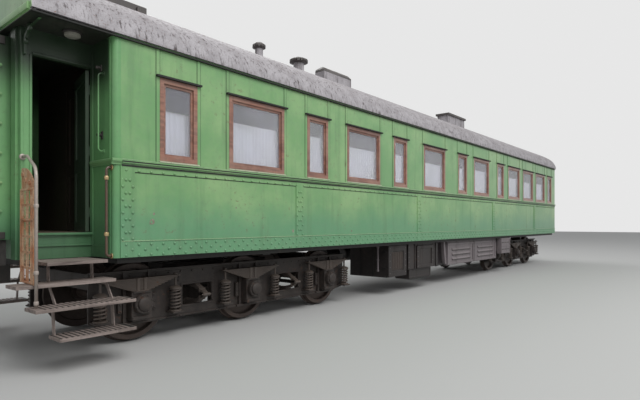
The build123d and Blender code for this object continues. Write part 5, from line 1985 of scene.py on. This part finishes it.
@dataclass
class Underfloor:
    """Panels, ribs, louvres, pipes and brackets of the boxes under the floor."""

    front_y: float = -1.33
    box_foot: float = 0.53
    floor_z: float = 1.12
    # First X, last X and how far it stands out of each upright edge on the dark box
    box_edges: Rows = ((-1.84, -1.79, 0.016), (-1.52, -1.49, 0.016), (-0.42, -0.33, 0.02))
    # X, how far out, lowest Z and step of each row of five bolts
    bolt_rows: Rows = (
        (-2.68, 0.03, 0.5, 0.14),
        (-2.0, 0.03, 0.5, 0.14),
        (-1.41, 0.035, 0.58, 0.12),
        (-0.63, 0.035, 0.58, 0.12),
        (-1.815, 0.016, 0.58, 0.12),
    )
    slat_count: int = 6
    slat_pitch: float = 0.078
    # Body, first X and last X of each battery door
    doors: Rows = (("battery_door_front", 0.232, 1.998), ("battery_door_rear", 2.022, 3.788))
    door_y: float = -1.3553
    door_edges: tuple[Span, ...] = ((0.505, 0.56), (1.03, 1.085))
    door_stile: float = 0.09
    louvres: tuple[float, ...] = (0.64, 0.77, 0.9)
    brackets: tuple[float, ...] = (0.17, 3.8)
    relay_y: float = -1.5
    relay_span: Span = (3.87, 4.71)
    relay_edges: tuple[Span, ...] = ((0.65, 0.69), (0.87, 0.9), (1.09, 1.13))
    relay_stile: float = 0.04
    relay_stiles: tuple[Span, ...] = ((0.695, 0.865), (0.905, 1.085))
    # X of each column and Z of each row of the relay box's louvres
    mouth_columns: tuple[float, ...] = (3.96, 4.2, 4.44)
    mouth_rows: tuple[float, ...] = (0.76, 0.98)
    # First X, last X, Y, Z and radius of each pipe along the floor
    floor_pipes: Rows = (
        (-0.36, 0.26, -1.27, 0.535, 0.024),
        (-9.6, 9.7, -0.36, 1.1, 0.03),
        (-3.9, 3.9, 1.3, 1.06, 0.022),
    )
    sleeve_in: float = 0.12
    sleeve_growth: float = 1.5
    upright_x: float = -2.775
    upright_y: float = -1.1
    upright_sleeves: tuple[float, ...] = (0.56, 0.8, 1.09)

    def recessed(self, x: Span, y: Span, z: Span, rim: float) -> bpy.types.Object:
        """Shape a raised panel whose middle is sunk.

        Args:
            x: Its ends.
            y: Its front and its back, which is the box's front.
            z: Its lower and upper edge.
            rim: How wide the rim round the middle is.

        Returns:
            The panel.
        """
        panel = raw_block(x, y, z)
        with shaping(panel, facing(Axis.Y, -1.0)):
            inset(rim)
            draw_out((0.0, (y[1] - y[0]) * 0.7, 0.0))
        return soften(panel, 0.005)

    def lower_box(self) -> bpy.types.Object:
        """Hang the lower box, with its sunk front and drawn-in foot.

        Returns:
            The box.
        """
        box = raw_block((-1.72, -0.62), (-1.3, -0.9), (0.3, 0.518))
        with shaping(box, facing(Axis.Z, -1.0)):
            inset(0.03, (0.0, 0.0, -0.02))
        with shaping(box, facing(Axis.Y, -1.0)):
            inset(0.035)
            draw_out((0.0, 0.012, 0.0))
        return soften(box, 0.006)

    def panel_boxes(self) -> None:
        """Frame the equipment boxes' fronts, hang the lower box and rib the dark end."""
        y, top = self.front_y, self.floor_z
        made = [
            self.recessed((-2.735, -1.95), (y - 0.03, y), (0.415, top), 0.13),
            self.recessed((-1.44, -0.6), (y - 0.035, y), (self.box_foot, 1.08), 0.075),
        ]
        for first, last, out in self.box_edges:
            made.append(bar((first, last), (y - out, y), (self.box_foot, top), 0.004))
        made.append(self.lower_box())
        Fixing(Slot.BOX, EQUIPMENT_PAINT, mirror=False).put("equipment_panels", made)
        bolts = Rivets(0.011)
        for x, out, low, step in self.bolt_rows:
            bolts.row((x, y - out, low), (0.0, 0.0, step), 5)
        Fixing(Slot.BOX, mirror=False, smooth=60.0).put("equipment_bolts", bolts.taken())
        slats = [bar((-2.585, -2.1), (y - 0.011, y - 0.008), (0.565, 0.97), 0.001)]
        for number in range(self.slat_count):
            x = -2.56 + self.slat_pitch * number
            slats.append(bar((x, x + 0.045), (y - 0.018, y - 0.01), (0.58, 0.955), 0.003))
        Fixing(Slot.WHEEL, mirror=False).put("equipment_slats", slats)
        dark = [bar((-2.752, -2.74), about(rib, 0.02), (0.44, top), 0.003) for rib in (-0.95, -0.6)]
        for z in (0.6, 0.96):
            dark.append(bar((-2.76, -2.74), (-1.3, -1.2), (z, z + 0.04), 0.003))
        Fixing(Slot.UNDERFRAME, mirror=False).put("equipment_end", dark)

    def battery_door(self, body: str, first: float, last: float) -> None:
        """Frame and louvre one battery door, riding on its own body.

        Args:
            body: The door's body.
            first: Its lowest X.
            last: Its highest X.
        """
        y = self.door_y
        middle = (first + last) / 2
        made = []
        for height in self.door_edges:
            made.append(bar((first, last), (y - 0.016, y), height, 0.003))
        for width in ((first, first + self.door_stile), (last - self.door_stile, last)):
            made.append(bar(width, (y - 0.016, y), (0.565, 1.025), 0.003))
        for z in self.louvres:
            hood = raw_block(about(middle, 0.62), (y - 0.03, y), (z, z + 0.05))
            with shaping(hood, facing(Axis.Z, 1.0)):
                bpy.ops.transform.resize(value=(0.97, 0.2, 1.0))
                bpy.ops.transform.translate(value=(0.0, 0.011, 0.0))
            made.append(hood)
        Fixing(Slot.BOX, body=body, mirror=False).put(f"{body}_frame", made)
        mouths = [bar(about(middle, 0.6), (y - 0.026, y), (z - 0.018, z)) for z in self.louvres]
        Fixing(Slot.CAST, body=body, mirror=False).put(f"{body}_mouths", mouths)

    def battery_box(self) -> None:
        """Bracket and ledge the battery box, and frame and louvre the relay box beside it."""
        made = [bar((x, x + 0.05), (-1.3, -1.2), (0.5, 1.137), 0.004) for x in self.brackets]
        slant = raw_block((0.13, 0.22), (-1.34, -1.25), (0.53, 1.13))
        with shaping(slant, facing(Axis.Z, 1.0)):
            bpy.ops.transform.translate(value=(-0.09, 0.0, 0.0))
        made.append(soften(slant, 0.004))
        made.append(bar((0.22, 3.8), (-1.35, -1.3), (1.112, 1.137), 0.004))
        first, last = self.relay_span
        edge = (self.relay_y - 0.012, self.relay_y)
        for height in self.relay_edges:
            made.append(bar((first, last), edge, height, 0.003))
        for x in (first, last - self.relay_stile):
            for height in self.relay_stiles:
                made.append(bar((x, x + self.relay_stile), edge, height, 0.003))
        Fixing(Slot.BOX, mirror=False).put("battery_fittings", made)
        mouths = []
        depth = (self.relay_y - 0.006, self.relay_y)
        for z in self.mouth_rows:
            for x in self.mouth_columns:
                mouths.append(bar((x, x + 0.16), depth, (z, z + 0.03), 0.001))
        Fixing(Slot.CAST, mirror=False).put("relay_mouths", mouths)

    def pipes(self) -> None:
        """Run the pipes along the floor and the upright pipe at the dark box end."""
        made = []
        for first, last, y, z, radius in self.floor_pipes:
            middle = ((first + last) / 2, y, z)
            made.append(soften(raw_rod(middle, radius, last - first, Axis.X), 0.004))
            for x in (first + self.sleeve_in, last - self.sleeve_in):
                sleeve = raw_rod((x, y, z), radius * self.sleeve_growth, 0.07, Axis.X)
                made.append(soften(sleeve, 0.006))
        made += [bar((x, x + 0.02), (-1.3, -1.24), (0.5, 0.57), 0.003) for x in (-0.3, 0.2)]
        Fixing(Slot.UNDERFRAME, mirror=False).put("floor_pipes", made)
        x, y = self.upright_x, self.upright_y
        upright = [soften(raw_rod((x, y, 0.83), 0.02, 0.58, Axis.Z), 0.005)]
        for z in self.upright_sleeves:
            upright.append(soften(raw_rod((x, y, z), 0.028, 0.045, Axis.Z), 0.005))
            upright.append(bar((x, x + 0.037), about(y, 0.01), about(z, 0.012)))
        Fixing(Slot.BOX, mirror=False).put("upright_pipes", upright)

    def build(self) -> None:
        """Make everything under the floor."""
        self.panel_boxes()
        for body, first, last in self.doors:
            self.battery_door(body, first, last)
        self.battery_box()
        self.pipes()


@dataclass
class Studio:
    """The floor, the light and the camera."""

    floor_half: float = 90.0
    floor_colour: Colour = (0.5, 0.5, 0.49)
    floor_roughness: float = 0.9
    sky_colour: Colour = (0.8, 0.82, 0.84)
    seen_colour: Colour = (0.8, 0.8, 0.8)
    sky_strength: float = 0.5
    # Name, place and power of each lamp
    lamps: Rows = (
        ("key_lamp", (-8.0, -19.0, 22.0), 5600.0),
        ("back_lamp", (8.0, 19.0, 20.0), 2600.0),
    )
    lamp_size: float = 18.0
    lamp_aim: Point = (0.0, 0.0, 2.0)
    camera_place: Point = (-12.1, -7.18, 1.634)
    azimuth: float = 39.85
    rise: float = 23.0
    focal_pixels: float = 490.0
    frame_pixels: float = 640.0
    sensor: float = 36.0
    clipping: Span = (0.1, 400.0)

    def floor(self) -> None:
        """Lay the plain pale floor under the wheels."""
        bpy.ops.mesh.primitive_plane_add(size=2 * self.floor_half, location=STILL)
        ground = bpy.context.active_object
        ground.name = "studio_floor"
        made = bpy.data.materials.new("plain_floor")
        made.use_nodes = True
        shader = made.node_tree.nodes["Principled BSDF"]
        shader.inputs["Base Color"].default_value = (*self.floor_colour, 1.0)
        shader.inputs["Roughness"].default_value = self.floor_roughness
        ground.data.materials.append(made)

    def sky(self) -> None:
        """Fill the world with an even pale light, paler where the camera sees it."""
        world = bpy.data.worlds.new("studio_sky")
        bpy.context.scene.world = world
        world.use_nodes = True
        graph = Graph(world.node_tree)
        light = world.node_tree.nodes["Background"]
        light.inputs["Color"].default_value = (*self.sky_colour, 1.0)
        light.inputs["Strength"].default_value = self.sky_strength
        seen = graph.node("ShaderNodeBackground")
        seen.inputs["Color"].default_value = (*self.seen_colour, 1.0)
        path = graph.node("ShaderNodeLightPath")
        shown = graph.math("MAXIMUM", path.outputs["Is Camera Ray"], path.outputs["Is Glossy Ray"])
        shown = graph.math("MAXIMUM", shown, path.outputs["Is Transmission Ray"])
        mixed = graph.node("ShaderNodeMixShader")
        for socket, value in zip(mixed.inputs, (shown, light.outputs[0], seen.outputs[0])):
            graph.feed(socket, value)
        graph.feed(world.node_tree.nodes["World Output"].inputs["Surface"], mixed.outputs[0])

    def hang_lamps(self) -> None:
        """Hang one broad soft lamp over the near side and a weaker one behind."""
        for name, place, power in self.lamps:
            data = bpy.data.lights.new(name, "AREA")
            data.energy = power
            data.size = self.lamp_size
            lamp = bpy.data.objects.new(name, data)
            bpy.context.scene.collection.objects.link(lamp)
            lamp.location = place
            away = Vector(self.lamp_aim) - Vector(place)
            lamp.rotation_euler = away.to_track_quat("-Z", "Y").to_euler()

    def camera(self) -> None:
        """Stand the camera where the photograph was taken from."""
        data = bpy.data.cameras.new("photograph_camera")
        data.sensor_width = self.sensor
        data.lens = self.focal_pixels * self.sensor / self.frame_pixels
        data.shift_y = self.rise / self.frame_pixels
        data.clip_start, data.clip_end = self.clipping
        eye = bpy.data.objects.new("photograph_camera", data)
        bpy.context.scene.collection.objects.link(eye)
        eye.location = self.camera_place
        eye.rotation_euler = (radians(90.0), 0.0, radians(self.azimuth - 90.0))
        bpy.context.scene.camera = eye

    def build(self) -> None:
        """Set up the whole studio."""
        self.floor()
        self.sky()
        self.hang_lamps()
        self.camera()
        bpy.context.scene.view_settings.view_transform = "Standard"


def main() -> None:
    """Build the coach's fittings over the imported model, in order, and report each piece."""
    logging.basicConfig(level=logging.INFO, format="%(name)s: %(message)s")
    dress_cad_nodes()
    for assembly in (
        SideWalls(),
        Curtains(),
        Entrance(),
        StepGrille(),
        Treads(),
        Gangways(),
        RoofFittings(),
        Bogie("near", -6.56),
        Bogie("far", 6.56),
        Underfloor(),
        Studio(),
    ):
        before = set(bpy.data.objects.keys())
        assembly.build()
        for name in sorted(set(bpy.data.objects.keys()) - before):
            log.info("%s made %s", type(assembly).__name__, name)


if __name__ == "__main__":
    main()
